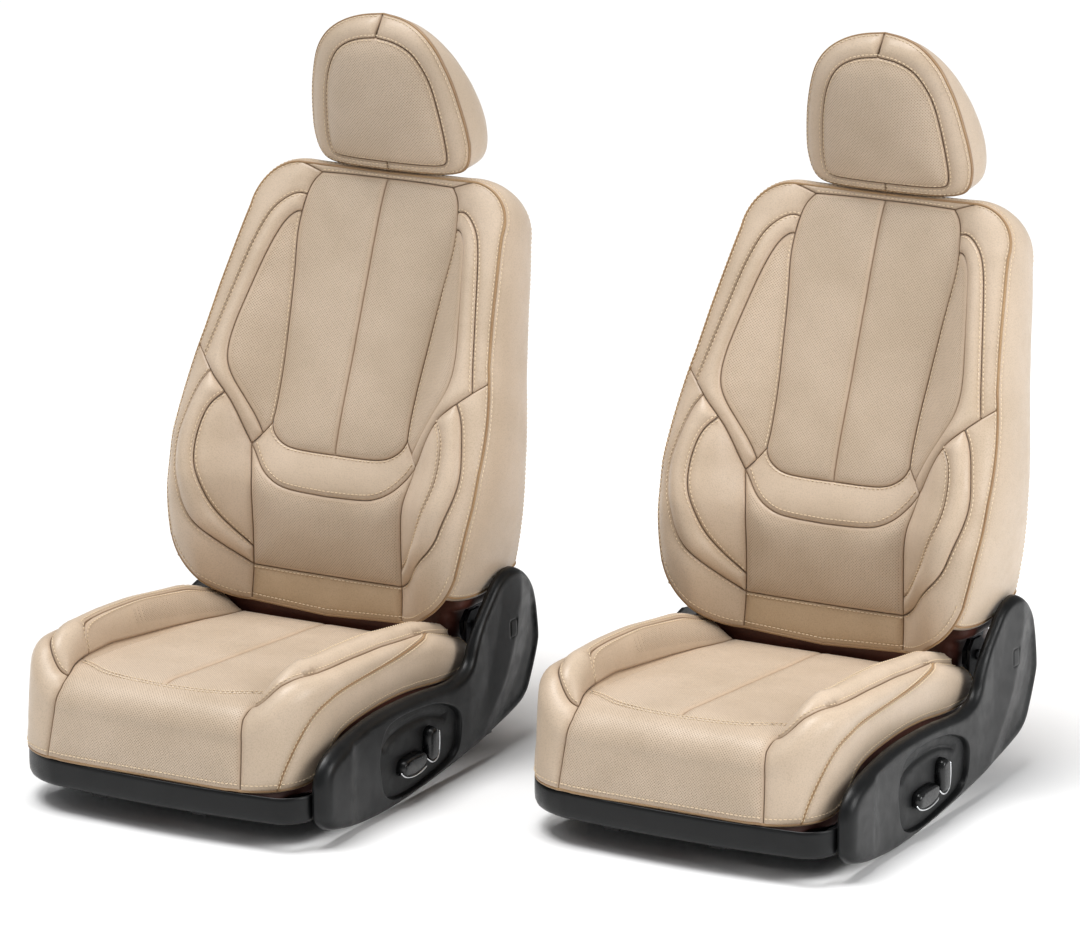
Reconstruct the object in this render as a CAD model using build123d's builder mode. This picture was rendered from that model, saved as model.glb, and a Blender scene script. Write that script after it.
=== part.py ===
"""Pair of car front seats dressed in a fitted leatherette seat cover set.

Seat frame: +X towards the side with the switches, -Y forwards, +Z up, z = 0 on the floor under the rails.
Every piece is drawn once in the seat frame, then placed for the left and for the right seat.
"""
import os
from math import cos, radians, sin

from build123d import *

# ---- placing of the pair, millimetres ----
SEAT_PITCH_X = 765.0
SEAT_STAGGER_Y = 243.0
SEAT_MID_X = 9.0
SEAT_MID_Y = -16.0

# ---- track ----
RAIL_X = 200.0
RAIL_MID_Y = -15.0
RAIL_LENGTH = 430.0
RAIL_WIDTH = 44.0
RAIL_HEIGHT = 24.0
RAIL_WALL = 3.0
RAIL_LIP = 8.0
TAB_LENGTH = 34.0
BOLT_R = 5.25
HEAD_WIDTH = 32.0
HEAD_Z = (7.0, 13.0)
WEB_WIDTH = 12.0
UPPER_TOP_Z = 38.0

# ---- cushion ----
COVER_T = 5.0
CUSHION_HALF = 256.0
CUSHION_FRONT_Y = -448.0
CUSHION_REAR_Y = 105.0
CUSHION_NOTCH_Y = 60.0
CUSHION_NOTCH_HALF = 229.0
CUSHION_SLOPE = 3.5
CORNER_R = 75.0
FOAM_BASE_Z = 66.0
INSERT_HALF = 165.0

# ---- backrest ----
BACK_RAKE = 18.0
BACK_FOOT = Vector(0, 94, 264)
FRAME_DEPTH = 26.0
SIDE_COVER_T = 6.0
SIDE_HEM_Z = 238.0
PIVOT = (150.0, 205.0)
PIVOT_R = 8.0
PIVOT_CLEAR = 0.5
ARM_X = (226.0, 232.0)
BRACKET_X = (236.0, 241.0)

# ---- headrest ----
POST_X = 60.0
POST_Y = 335.0
POST_R = 6.0
POST_BELOW = 150.0
POST_ABOVE = 115.0
POST_BEND_R = 20.0
POST_FOAM_GAP = 0.4
GUIDE_R = 9.7
GUIDE_HOLE_R = 10.0
GUIDE_BORE_R = 6.5
HEADREST_BASE_Z = 897.0

# ---- shield and switches ----
SHIELD_X = (276.0, 300.0)
RECESS_DEPTH = 10.0
SWITCH_FACE_X = 304.0
STEM_R = 5.0
CUSHION_SWITCH = (-141.0, 64.0)
RECLINE_SWITCH = (-82.0, 82.0)

BIG = 450.0
RAKE_UP = Vector(0, sin(radians(BACK_RAKE)), cos(radians(BACK_RAKE)))
BACK = Plane(
    origin=BACK_FOOT,
    x_dir=(1, 0, 0),
    z_dir=(0, -cos(radians(BACK_RAKE)), sin(radians(BACK_RAKE))),
)


def side_prism(points, x_low=-BIG, x_high=BIG, grow=0.0):
    """Block with an outline in side view (y, z), from x_low to x_high."""
    with BuildPart() as prism:
        with BuildSketch(Plane.YZ.offset(x_low)):
            with BuildLine():
                Polyline(*points, close=True)
            make_face()
            if grow:
                offset(amount=grow, kind=Kind.INTERSECTION)
        extrude(amount=x_high - x_low)
    return prism.part


def front_prism(plane, points):
    """Block seen along a plane's normal, from half an outline that is mirrored across the seat's middle."""
    with BuildPart() as prism:
        with BuildSketch(plane):
            with BuildLine():
                Polyline(*points, close=True)
            make_face()
            mirror(about=Plane.YZ)
        extrude(amount=2 * BIG, both=True)
    return prism.part


# ---- lower rails: lipped channels with a bolt tab at each end ----
with BuildPart() as lower_rails:
    with BuildSketch(Plane.XZ.offset(-(RAIL_MID_Y + RAIL_LENGTH / 2))):
        with Locations((-RAIL_X, RAIL_HEIGHT / 2), (RAIL_X, RAIL_HEIGHT / 2)):
            Rectangle(RAIL_WIDTH, RAIL_HEIGHT)
            Rectangle(RAIL_WIDTH - 2 * RAIL_WALL, RAIL_HEIGHT - 2 * RAIL_WALL, mode=Mode.SUBTRACT)
        with Locations((-RAIL_X, RAIL_HEIGHT), (RAIL_X, RAIL_HEIGHT)):
            Rectangle(RAIL_WIDTH - 2 * RAIL_LIP, 4 * RAIL_WALL, mode=Mode.SUBTRACT)
    extrude(amount=RAIL_LENGTH)
    bolt_y = (RAIL_LENGTH + TAB_LENGTH) / 2
    with BuildSketch():
        with Locations((0, RAIL_MID_Y)):
            with GridLocations(2 * RAIL_X, 2 * bolt_y, 2, 2):
                Rectangle(RAIL_WIDTH, TAB_LENGTH)
                Circle(BOLT_R, mode=Mode.SUBTRACT)
    extrude(amount=RAIL_WALL + 1)

# ---- upper rails: a head captive in each channel, a web, and a flange under the cushion frame ----
with BuildPart() as upper_rails:
    with BuildSketch(Plane.XZ.offset(-(RAIL_MID_Y + RAIL_LENGTH / 2))):
        for side in (-1, 1):
            with Locations((side * RAIL_X, (HEAD_Z[0] + HEAD_Z[1]) / 2)):
                Rectangle(HEAD_WIDTH, HEAD_Z[1] - HEAD_Z[0])
            with Locations((side * RAIL_X, (HEAD_Z[0] + UPPER_TOP_Z) / 2)):
                Rectangle(WEB_WIDTH, UPPER_TOP_Z - HEAD_Z[0])
            with Locations((side * RAIL_X, UPPER_TOP_Z - 2)):
                Rectangle(RAIL_WIDTH, 4)
    extrude(amount=RAIL_LENGTH)

# ---- cushion frame: side members and cross members under a pressed pan ----
FRAME_HALF = 236.0
FRAME_Y = (-400.0, 50.0)
FRAME_MEMBER = 30.0
PAN_T = 3.0

with BuildPart() as cushion_frame:
    with BuildSketch(Plane.XY.offset(UPPER_TOP_Z)):
        with Locations((0, (FRAME_Y[0] + FRAME_Y[1]) / 2)):
            RectangleRounded(2 * FRAME_HALF, FRAME_Y[1] - FRAME_Y[0], 20)
    extrude(amount=FOAM_BASE_Z - UPPER_TOP_Z)
    with BuildSketch(Plane.XY.offset(UPPER_TOP_Z)):
        with Locations((0, (FRAME_Y[0] + FRAME_Y[1]) / 2)):
            Rectangle(2 * (FRAME_HALF - FRAME_MEMBER), FRAME_Y[1] - FRAME_Y[0] - 2 * FRAME_MEMBER)
    extrude(amount=FOAM_BASE_Z - UPPER_TOP_Z - PAN_T, mode=Mode.SUBTRACT)


# ---- cushion solids ----
def cushion_block(grow):
    """Cushion with raised side bolsters and a rounded nose; a negative grow gives the foam inside the cover."""
    half = CUSHION_HALF + grow
    tilt = radians(CUSHION_SLOPE)
    section = [(0, 218), (INSERT_HALF, 218), (200, 262), (232, 267), (251, 246), (256, 224), (256, 20), (0, 20)]
    profile = [(-448, 20), (-448, 170), (-430, 216), (-392, 250), (-335, 272), (20, 272), (105, 226), (105, 20)]
    nose = [(-520, 150), (-441, 150), (-430, 190), (-411, 212), (-380, 219.5), (-380, 330), (-520, 330)]
    section_plane = Plane(origin=(0, -380, 0), x_dir=(1, 0, 0), z_dir=(0, -cos(tilt), sin(tilt)))
    with BuildPart() as block:
        with BuildSketch():
            with Locations((0, (CUSHION_FRONT_Y + CUSHION_REAR_Y) / 2)):
                Rectangle(2 * half, CUSHION_REAR_Y - CUSHION_FRONT_Y + 2 * grow)
            fillet(vertices().group_by(Axis.Y)[0], CORNER_R + grow)
            with Locations((0, CUSHION_NOTCH_Y + grow + 100)):
                Rectangle(2 * (CUSHION_NOTCH_HALF - grow), 200, mode=Mode.SUBTRACT)
        extrude(amount=BIG)
        with BuildSketch(section_plane):
            with BuildLine():
                Polyline(*section, close=True)
            make_face()
            mirror(about=Plane.YZ)
            offset(amount=grow, kind=Kind.INTERSECTION)
        extrude(amount=2 * BIG, both=True, mode=Mode.INTERSECT)
        add(side_prism(profile, grow=grow), mode=Mode.INTERSECT)
        add(side_prism(nose, -INSERT_HALF, INSERT_HALF, grow=-grow), mode=Mode.SUBTRACT)
    return block.part


with BuildPart() as cushion_foam:
    add(cushion_block(-COVER_T))
    with Locations((0, 0, FOAM_BASE_Z)):
        Box(2 * BIG, 4 * BIG, 2 * BIG, align=(Align.CENTER, Align.CENTER, Align.MAX), mode=Mode.SUBTRACT)

BELOW_HEM = [
    (-600, 0), (-600, 90), (-400, 90), (-343, 111), (-292, 153), (-177, 165), (-83, 163), (11, 150), (300, 148),
    (300, 0),
]
BELOW_PIPING = [(-600, 0), (-600, 175), (-448, 175), (-415, 208), (-300, 220), (54, 228), (300, 228), (300, 0)]

with BuildPart() as cushion_cover:
    add(cushion_block(0.0))
    add(cushion_block(-COVER_T), mode=Mode.SUBTRACT)
    add(side_prism(BELOW_HEM), mode=Mode.SUBTRACT)


def cover_panel(cover, *masks, less=()):
    """The part of a sewn cover that lies inside every mask and outside every mask in less."""
    with BuildPart() as panel:
        add(cover)
        for mask in masks:
            add(mask, mode=Mode.INTERSECT)
        for mask in less:
            add(mask, mode=Mode.SUBTRACT)
    return panel


middle_top = side_prism([(-408, 0), (-408, 400), (300, 400), (300, 0)], -INSERT_HALF, INSERT_HALF)
middle_front = side_prism([(-600, 0), (-600, 400), (-408, 400), (-408, 0)], -INSERT_HALF, INSERT_HALF)
middle_strip = side_prism([(-600, 0), (-600, 400), (300, 400), (300, 0)], -INSERT_HALF, INSERT_HALF)
below_piping = side_prism(BELOW_PIPING)

cushion_insert = cover_panel(cushion_cover.part, middle_top)
cushion_front_panel = cover_panel(cushion_cover.part, middle_front)
cushion_bolsters = cover_panel(cushion_cover.part, less=(middle_strip, below_piping))
cushion_skirt = cover_panel(cushion_cover.part, below_piping, less=(middle_strip,))

# ---- elastic straps that hold the cushion cover down under the pan ----
STRAP_X = 90.0
STRAP_WIDTH = 25.0
STRAP_T = 2.0
STRAP_Y = (-440.0, 56.0)

with BuildPart() as cushion_straps:
    for side in (-1, 1):
        with BuildSketch(Plane.YZ.offset(side * STRAP_X - STRAP_WIDTH / 2)):
            with Locations(((STRAP_Y[0] + STRAP_Y[1]) / 2, (FOAM_BASE_Z + UPPER_TOP_Z - 3) / 2)):
                Rectangle(STRAP_Y[1] - STRAP_Y[0], FOAM_BASE_Z - UPPER_TOP_Z + 3)
            with Locations(((STRAP_Y[0] + STRAP_Y[1]) / 2, (FOAM_BASE_Z + UPPER_TOP_Z - 3) / 2 + STRAP_T)):
                Rectangle(
                    STRAP_Y[1] - STRAP_Y[0] - 2 * STRAP_T, FOAM_BASE_Z - UPPER_TOP_Z + 3, mode=Mode.SUBTRACT
                )
        extrude(amount=STRAP_WIDTH)

# ---- front valance: a moulded strip round the cushion's foot, from the inner side to the shield ----
VALANCE_Z = (43.0, 88.0)
VALANCE_T = 4.0
VALANCE_HALF = 262.0

with BuildPart() as front_valance:
    with BuildSketch(Plane.XY.offset(VALANCE_Z[0])):
        with BuildLine():
            Line((-VALANCE_HALF, -200), (-VALANCE_HALF, -380))
            ThreePointArc((-VALANCE_HALF, -380), (-242, -430), (-192, -450))
            ThreePointArc((-192, -450), (15, -460), (222, -450))
            ThreePointArc((222, -450), (254, -437), (271, -408))
            Line((271, -408), (271, -400))
            offset(amount=VALANCE_T / 2, side=Side.BOTH)
        make_face()
    extrude(amount=VALANCE_Z[1] - VALANCE_Z[0])

# ---- outer shield with the recliner tower and the switch recess ----
SHIELD_OUTLINE = [
    (-413, 45), (-389, 29), (-365, 19), (-318, 10), (-258, 5), (-197, 5), (-136, 9), (-74, 15), (-12, 22),
    (51, 31), (115, 41), (180, 54), (238, 72), (256, 108), (275, 150), (278, 168), (267, 230), (253, 258),
    (226, 282), (187, 302), (142, 292), (110, 262), (79, 233), (57, 202), (48, 177), (23, 164), (-14, 158),
    (-102, 168), (-181, 171), (-242, 170), (-301, 163), (-355, 152), (-393, 138), (-413, 105),
]
RECESS_OUTLINE = [
    (-232, 144), (-181, 150), (-101, 146), (-51, 137), (8, 116), (9, 67), (-6, 41), (-43, 33), (-136, 20),
    (-204, 22), (-231, 45), (-241, 96),
]

with BuildPart() as outer_shield:
    add(side_prism(SHIELD_OUTLINE, *SHIELD_X))
    chamfer(faces().sort_by(Axis.X)[-1].edges(), 6)
    add(side_prism(RECESS_OUTLINE, SHIELD_X[1] - RECESS_DEPTH, SHIELD_X[1] + 1), mode=Mode.SUBTRACT)
    with Locations(Plane.YZ.offset(SHIELD_X[0])):
        with Locations(RECLINE_SWITCH):
            Cylinder(STEM_R + 2, 60, mode=Mode.SUBTRACT)
        with Locations(CUSHION_SWITCH):
            Box(2 * STEM_R + 12, 2 * STEM_R + 3, 60, mode=Mode.SUBTRACT)


def shield_switch(centre, width, height):
    """A rounded switch cap standing in the recess, with its stem through the shield."""
    with BuildPart() as switch:
        with BuildSketch(Plane.YZ.offset(SHIELD_X[1] - RECESS_DEPTH + 1)):
            with Locations(centre):
                RectangleRounded(width, height, 8)
        extrude(amount=SWITCH_FACE_X - SHIELD_X[1] + RECESS_DEPTH - 1)
        chamfer(faces().sort_by(Axis.X)[-1].edges(), 2)
        with BuildSketch(Plane.YZ.offset(SHIELD_X[0] + 2)):
            with Locations(centre):
                Circle(STEM_R)
        extrude(amount=SHIELD_X[1] - SHIELD_X[0])
    return switch


cushion_switch = shield_switch(CUSHION_SWITCH, 70, 30)
recline_switch = shield_switch(RECLINE_SWITCH, 30, 56)

# ---- inner shield: a flatter cover over the recliner on the other side ----
INNER_SHIELD_X = (-286.0, -276.0)
INNER_SHIELD_OUTLINE = [
    (-190, 62), (226, 62), (250, 110), (246, 160), (214, 196), (150, 206), (96, 192), (56, 158), (20, 140),
    (-190, 128), (-216, 95),
]

with BuildPart() as inner_shield:
    add(side_prism(INNER_SHIELD_OUTLINE, *INNER_SHIELD_X))
    chamfer(faces().sort_by(Axis.X)[0].edges(), 4)

# ---- recliner brackets: plates that stand on the cushion frame and hold the backrest's pins ----
BRACKET_OUTLINE = [
    (20, 40), (20, 62), (114, 62), (122, 218), (136, 232), (164, 232), (178, 218), (214, 110), (214, 40),
]

with BuildPart() as recliner_brackets:
    add(side_prism(BRACKET_OUTLINE, *BRACKET_X))
    add(side_prism(BRACKET_OUTLINE, -BRACKET_X[1], -BRACKET_X[0]))
    with Locations(Plane.YZ):
        with Locations(PIVOT):
            Cylinder(PIVOT_R + PIVOT_CLEAR, 2 * BIG, mode=Mode.SUBTRACT)


# ---- backrest solids ----
BACK_MIDDLE_LINE = [(88, 180), (96, 262), (90, 400), (122, 458), (184, 604), (242, 750), (292, 874)]
BACK_BOLSTER_LINE = [(60, 180), (44, 262), (32, 330), (36, 420), (72, 496), (134, 606), (212, 756), (286, 876)]
BACK_REAR_LINE = [(374, 850), (352, 766), (320, 679), (275, 550), (252, 460), (246, 360), (240, 270), (214, 180)]
BACK_TOP_Y = (304.0, 362.0)
BACK_TOP_Z = 888.0


def back_outline(inset):
    """Front view of the dressed backrest on its raked plane: wide at the bolsters, round shoulders."""
    with BuildSketch() as outline:
        with BuildLine():
            Line((0, -59), (140, -52))
            ThreePointArc((140, -52), (225, -25), (262, 31))
            ThreePointArc((262, 31), (281, 190), (262, 365))
            Line((262, 365), (232, 575))
            ThreePointArc((232, 575), (208, 640), (150, 666))
            Line((150, 666), (0, 670))
            mirror(about=Plane.YZ)
        make_face()
        if inset:
            offset(amount=-inset)
    return outline.sketch


def back_trough(grow):
    """The space between the bolsters in front of the backrest's middle, narrower where it is deeper."""
    front_space = [(-300, 100)] + BACK_MIDDLE_LINE + [(292, 1100), (-300, 1100)]
    with BuildPart() as trough:
        with BuildSketch(Plane(origin=BACK_FOOT - RAKE_UP * 200, x_dir=(1, 0, 0), z_dir=RAKE_UP)):
            with BuildLine():
                Polyline((-118, 60), (118, 60), (118, 0), (205, -75), (205, -500), (-205, -500), (-205, -75),
                         (-118, 0), close=True)
            make_face()
            if grow:
                offset(amount=-grow, kind=Kind.INTERSECTION)
        extrude(amount=1100)
        add(side_prism(front_space, grow=-grow), mode=Mode.INTERSECT)
    return trough.part


def back_block(outline, grow=0.0, rear_cut=0.0):
    """Backrest solid: its outline through the bolsters' side view, less the trough between the bolsters."""
    top = [(BACK_TOP_Y[0], BACK_TOP_Z), (BACK_TOP_Y[1] - rear_cut, BACK_TOP_Z)]
    rear = [(y - rear_cut, z) for y, z in BACK_REAR_LINE]
    with BuildPart() as block:
        add(side_prism(BACK_BOLSTER_LINE + top + rear, grow=grow))
        with BuildSketch(BACK):
            add(outline)
        extrude(amount=BIG, both=True, mode=Mode.INTERSECT)
        add(back_trough(grow), mode=Mode.SUBTRACT)
    return block.part


def post_holes(radius):
    """Holes for the headrest posts, through the top of the backrest and up into the headrest."""
    with BuildPart() as holes:
        for side in (-1, 1):
            post = Plane(origin=(side * POST_X, POST_Y, HEADREST_BASE_Z), x_dir=(1, 0, 0), z_dir=RAKE_UP)
            with BuildSketch(post.offset(-POST_BELOW - 70)):
                Circle(radius)
            extrude(amount=POST_BELOW + 70 + POST_ABOVE)
    return holes.part


guide_holes = post_holes(GUIDE_HOLE_R)

# the backrest without the cover's sides, squared off across its foot
with BuildSketch() as core_outline:
    add(back_outline(SIDE_COVER_T))
    with Locations((0, -40)):
        Rectangle(440, 80)

# the space that the cushion's rear end needs under the backrest, for its foam and for its cover
below_foam = side_prism([(-300, 0), (-300, 254), (84, 254), (84, 200), (600, 200), (600, 0)])
below_back_hem = front_prism(
    Plane.XZ, [(0, 0), (0, 204), (125, 208), (150, 222), (172, 236), (205, 250), (400, 256), (400, 0)]
)

# room for the recliner arms beside the foam's foot
ARM_ROOM_X = 222.0
ARM_ROOM = (200.0, 200.0, 130.0)

with BuildPart() as backrest_foam:
    add(back_block(core_outline.sketch, rear_cut=FRAME_DEPTH))
    add(guide_holes, mode=Mode.SUBTRACT)
    add(below_foam, mode=Mode.SUBTRACT)
    for side in (-1, 1):
        with Locations((side * (ARM_ROOM_X + ARM_ROOM[0] / 2), 210, 270)):
            Box(*ARM_ROOM, mode=Mode.SUBTRACT)

# ---- back frame: a pressed hoop behind the foam, with recliner arms and their pins ----
ARM_OUTLINE = [(136, 180), (164, 180), (178, 205), (204, 262), (242, 330), (220, 330), (180, 262), (124, 215),
               (124, 195)]
rear_strip = BACK_REAR_LINE + [(y - FRAME_DEPTH + 1, z) for y, z in reversed(BACK_REAR_LINE)]

with BuildPart() as back_frame:
    with BuildSketch(BACK):
        add(back_outline(26))
        add(back_outline(66), mode=Mode.SUBTRACT)
    extrude(amount=BIG, both=True)
    add(side_prism(rear_strip), mode=Mode.INTERSECT)
    add(guide_holes, mode=Mode.SUBTRACT)
    for side in (-1, 1):
        low, high = sorted((side * ARM_X[0], side * ARM_X[1]))
        add(side_prism(ARM_OUTLINE, low, high))
        with BuildSketch(Plane.YZ.offset(side * ARM_X[0])):
            with Locations(PIVOT):
                Circle(PIVOT_R)
        extrude(amount=side * (BRACKET_X[1] + 3 - ARM_X[0]))

# ---- sewn backrest cover, cut into its panels ----
with BuildPart() as back_cover:
    add(back_block(back_outline(0), grow=COVER_T))
    add(back_block(core_outline.sketch), mode=Mode.SUBTRACT)
    add(guide_holes, mode=Mode.SUBTRACT)
    add(below_back_hem, mode=Mode.SUBTRACT)
    add(side_prism([(100, 0), (100, SIDE_HEM_Z), (600, SIDE_HEM_Z), (600, 0)]), mode=Mode.SUBTRACT)

with BuildPart() as face_region:
    with BuildSketch(BACK):
        add(core_outline.sketch)
    extrude(amount=BIG, both=True)

front_region = side_prism([(-300, 0), (130, 0), (150, 200), (150, 360), (185, 480), (330, 880), (330, 1100),
                           (-300, 1100)])
INSERT_EDGE = [(0, 194), (83, 195), (103, 202), (118, 213), (126, 230)]
BAND_EDGE = [(0, 127), (59, 130), (97, 134), (118, 144), (137, 165), (148, 190)]
WING_FOOT = [(152, 222), (200, 290), (265, 335), (400, 350)]

insert_mask = front_prism(
    BACK, INSERT_EDGE + [(124, 300), (131, 400), (146, 557), (135, 612), (126, 640), (126, 800), (0, 800)]
)
band_mask = front_prism(BACK, BAND_EDGE + [WING_FOOT[0]] + INSERT_EDGE[::-1])
panel_mask = front_prism(BACK, [(0, -200), (140, -200), (140, 5), (143, 100)] + BAND_EDGE[::-1])
leaf_mask = front_prism(
    BACK, [(140, -200), (140, 5), (143, 100), BAND_EDGE[-1]] + WING_FOOT + [(400, -200)]
)

back_insert = cover_panel(back_cover.part, face_region.part, front_region, insert_mask)
lumbar_band = cover_panel(back_cover.part, face_region.part, front_region, band_mask)
lumbar_panel = cover_panel(back_cover.part, face_region.part, front_region, panel_mask)
back_bolsters = cover_panel(back_cover.part, face_region.part, front_region, leaf_mask)
back_wings = cover_panel(
    back_cover.part, face_region.part, front_region, less=(insert_mask, band_mask, panel_mask, leaf_mask)
)
rear_cover = cover_panel(back_cover.part, face_region.part, less=(front_region,))
back_side_band = cover_panel(back_cover.part, less=(face_region.part,))

# ---- headrest guides: sleeves in the backrest's top ----
with BuildPart() as headrest_guides:
    for side in (-1, 1):
        sleeve = Plane(origin=(side * POST_X, POST_Y, HEADREST_BASE_Z), x_dir=(1, 0, 0), z_dir=RAKE_UP)
        with BuildSketch(sleeve.offset(-90)):
            Circle(GUIDE_R)
            Circle(GUIDE_BORE_R, mode=Mode.SUBTRACT)
        extrude(amount=90 - 8)

# ---- headrest ----
HEADREST_SIDE = [
    (290, 897), (277, 950), (264, 1010), (253, 1080), (254, 1120), (266, 1143), (296, 1148), (345, 1112),
    (386, 1052), (412, 1002), (428, 955), (430, 930), (420, 906), (404, 897),
]
HEADREST_INSERT = [
    (0, 800), (106, 800), (106, 895), (108, 935), (105, 970), (100, 1015), (92, 1050), (80, 1075), (62, 1095),
    (30, 1110), (0, 1114),
]


def headrest_block(inset):
    """Headrest solid: rounded front view through a side view that is deepest low down at the rear."""
    with BuildPart() as block:
        with BuildSketch(Plane.XZ):
            with BuildLine():
                Line((0, 897), (118, 897))
                ThreePointArc((118, 897), (137, 912), (143, 940))
                ThreePointArc((143, 940), (134, 1020), (108, 1095))
                ThreePointArc((108, 1095), (66, 1135), (0, 1148))
                mirror(about=Plane.YZ)
            make_face()
            if inset:
                offset(amount=-inset)
        extrude(amount=2 * BIG, both=True)
        add(side_prism(HEADREST_SIDE, grow=-inset), mode=Mode.INTERSECT)
    return block.part


def post_rod(radius):
    """One rod bent into both headrest posts and the bar between them."""
    plane = Plane(origin=(0, POST_Y, HEADREST_BASE_Z), x_dir=(1, 0, 0), z_dir=BACK.z_dir)
    with BuildPart() as rod:
        with BuildLine(plane) as route:
            FilletPolyline(
                (-POST_X, -POST_BELOW), (-POST_X, POST_ABOVE), (POST_X, POST_ABOVE), (POST_X, -POST_BELOW),
                radius=POST_BEND_R,
            )
        with BuildSketch(Plane(origin=route.line @ 0, z_dir=route.line % 0)):
            Circle(radius)
        sweep()
    return rod.part


with BuildPart() as headrest_posts:
    add(post_rod(POST_R))

with BuildPart() as headrest_foam:
    add(headrest_block(COVER_T))
    add(post_rod(POST_R + POST_FOAM_GAP), mode=Mode.SUBTRACT)

with BuildPart() as headrest_cover:
    add(headrest_block(0.0))
    add(headrest_block(COVER_T), mode=Mode.SUBTRACT)
    add(post_holes(POST_R + 3), mode=Mode.SUBTRACT)

headrest_front = side_prism([(100, 800), (283, 925), (284, 950), (271, 1010), (260, 1080), (262, 1116),
                             (262, 1300), (100, 1300)])
headrest_insert_mask = front_prism(Plane.XZ, HEADREST_INSERT)
headrest_insert = cover_panel(headrest_cover.part, headrest_front, headrest_insert_mask)
headrest_band = cover_panel(headrest_cover.part, headrest_front, less=(headrest_insert_mask,))
headrest_shell = cover_panel(headrest_cover.part, less=(headrest_front,))

# ---- place every piece on both seats and write it out ----
PIECES = {
    "lower_rails": lower_rails,
    "upper_rails": upper_rails,
    "cushion_frame": cushion_frame,
    "cushion_foam": cushion_foam,
    "cushion_insert": cushion_insert,
    "cushion_front_panel": cushion_front_panel,
    "cushion_bolsters": cushion_bolsters,
    "cushion_skirt": cushion_skirt,
    "cushion_straps": cushion_straps,
    "front_valance": front_valance,
    "outer_shield": outer_shield,
    "inner_shield": inner_shield,
    "cushion_switch": cushion_switch,
    "recline_switch": recline_switch,
    "recliner_brackets": recliner_brackets,
    "back_frame": back_frame,
    "backrest_foam": backrest_foam,
    "back_insert": back_insert,
    "lumbar_band": lumbar_band,
    "lumbar_panel": lumbar_panel,
    "back_wings": back_wings,
    "back_bolsters": back_bolsters,
    "back_side_band": back_side_band,
    "rear_cover": rear_cover,
    "headrest_guides": headrest_guides,
    "headrest_posts": headrest_posts,
    "headrest_foam": headrest_foam,
    "headrest_insert": headrest_insert,
    "headrest_band": headrest_band,
    "headrest_shell": headrest_shell,
}
SEATS = {"left": -1, "right": 1}

os.makedirs("parts", exist_ok=True)
for seat, sign in SEATS.items():
    place = Location((sign * SEAT_PITCH_X / 2 - SEAT_MID_X, sign * SEAT_STAGGER_Y / 2 - SEAT_MID_Y, 0))
    for name, piece in PIECES.items():
        placed = piece.part.moved(place)
        placed.label = f"{seat}_{name}"
        export_step(placed, f"parts/{seat}_{name}.step")
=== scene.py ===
"""Looks of the pair of dressed car seats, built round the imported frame.

Sewn pieces are worked out once, in millimetres in the seat frame: +X to the switches, -Y forwards, z = 0 on
the floor. Each seat then gets its own copy in metres, placed from the frame. A sewn face is drawn flat as a
pattern, cut into panels along its seams, and every panel swells between its seams over a base surface.
"""
from math import cos, pi, radians, sin

import bpy
import numpy as np
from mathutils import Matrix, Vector
from mathutils.geometry import delaunay_2d_cdt


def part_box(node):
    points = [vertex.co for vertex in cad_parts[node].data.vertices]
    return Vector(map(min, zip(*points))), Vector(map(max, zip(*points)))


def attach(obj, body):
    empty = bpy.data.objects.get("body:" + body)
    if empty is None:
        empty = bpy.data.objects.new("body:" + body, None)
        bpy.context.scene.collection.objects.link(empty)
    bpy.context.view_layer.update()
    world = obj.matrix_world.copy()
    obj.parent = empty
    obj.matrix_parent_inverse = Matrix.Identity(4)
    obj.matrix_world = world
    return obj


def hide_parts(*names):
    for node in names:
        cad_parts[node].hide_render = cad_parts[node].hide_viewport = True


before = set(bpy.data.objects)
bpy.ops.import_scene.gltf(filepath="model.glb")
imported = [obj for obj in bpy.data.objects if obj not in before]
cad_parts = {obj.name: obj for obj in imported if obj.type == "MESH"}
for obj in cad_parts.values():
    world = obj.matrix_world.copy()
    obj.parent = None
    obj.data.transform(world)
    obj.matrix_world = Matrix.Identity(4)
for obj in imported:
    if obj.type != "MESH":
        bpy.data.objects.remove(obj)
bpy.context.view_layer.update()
SEATS = ("left", "right")
MM = 0.001
RAIL_MID_Y = -15.0
LEATHER_T = 3.5
rng = np.random.default_rng(7)


# ---- curves in a flat pattern
def smooth(points, rounds=3):
    """The same open line with its corners rounded; its two ends stay."""
    line = np.array(points, float)
    for _ in range(rounds):
        cut = np.empty((2 * len(line), line.shape[1]))
        cut[0], cut[-1] = line[0], line[-1]
        cut[1:-1:2] = 0.75 * line[:-1] + 0.25 * line[1:]
        cut[2::2] = 0.25 * line[:-1] + 0.75 * line[1:]
        line = cut
    return line


def resample(line, step):
    """Evenly spaced points on an open line, its ends among them."""
    line = np.asarray(line, float)
    run = np.concatenate([[0], np.cumsum(np.linalg.norm(np.diff(line, axis=0), axis=1))])
    count = max(2, int(round(run[-1] / step)) + 1)
    at = np.linspace(0, run[-1], count)
    return np.stack([np.interp(at, run, column) for column in line.T], -1)


def arc(start, through, end, count=24):
    """Points on the circle through three points."""
    (ax, ay), (bx, by), (cx, cy) = start, through, end
    d = 2 * (ax * (by - cy) + bx * (cy - ay) + cx * (ay - by))
    a2, b2, c2 = ax * ax + ay * ay, bx * bx + by * by, cx * cx + cy * cy
    centre = np.array(
        [a2 * (by - cy) + b2 * (cy - ay) + c2 * (ay - by),
        a2 * (cx - bx) + b2 * (ax - cx) + c2 * (bx - ax)]) / d
    radius = np.hypot(*(np.array(start) - centre))
    t0, t1, t2 = [np.arctan2(*(np.array(p) - centre)[::-1]) for p in (start, through, end)]
    turn = (t2 - t0) % (2 * pi)
    if (t1 - t0) % (2 * pi) > turn:
        turn -= 2 * pi
    t = t0 + turn * np.linspace(0, 1, count)
    return centre + radius * np.stack([np.cos(t), np.sin(t)], -1)


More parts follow.
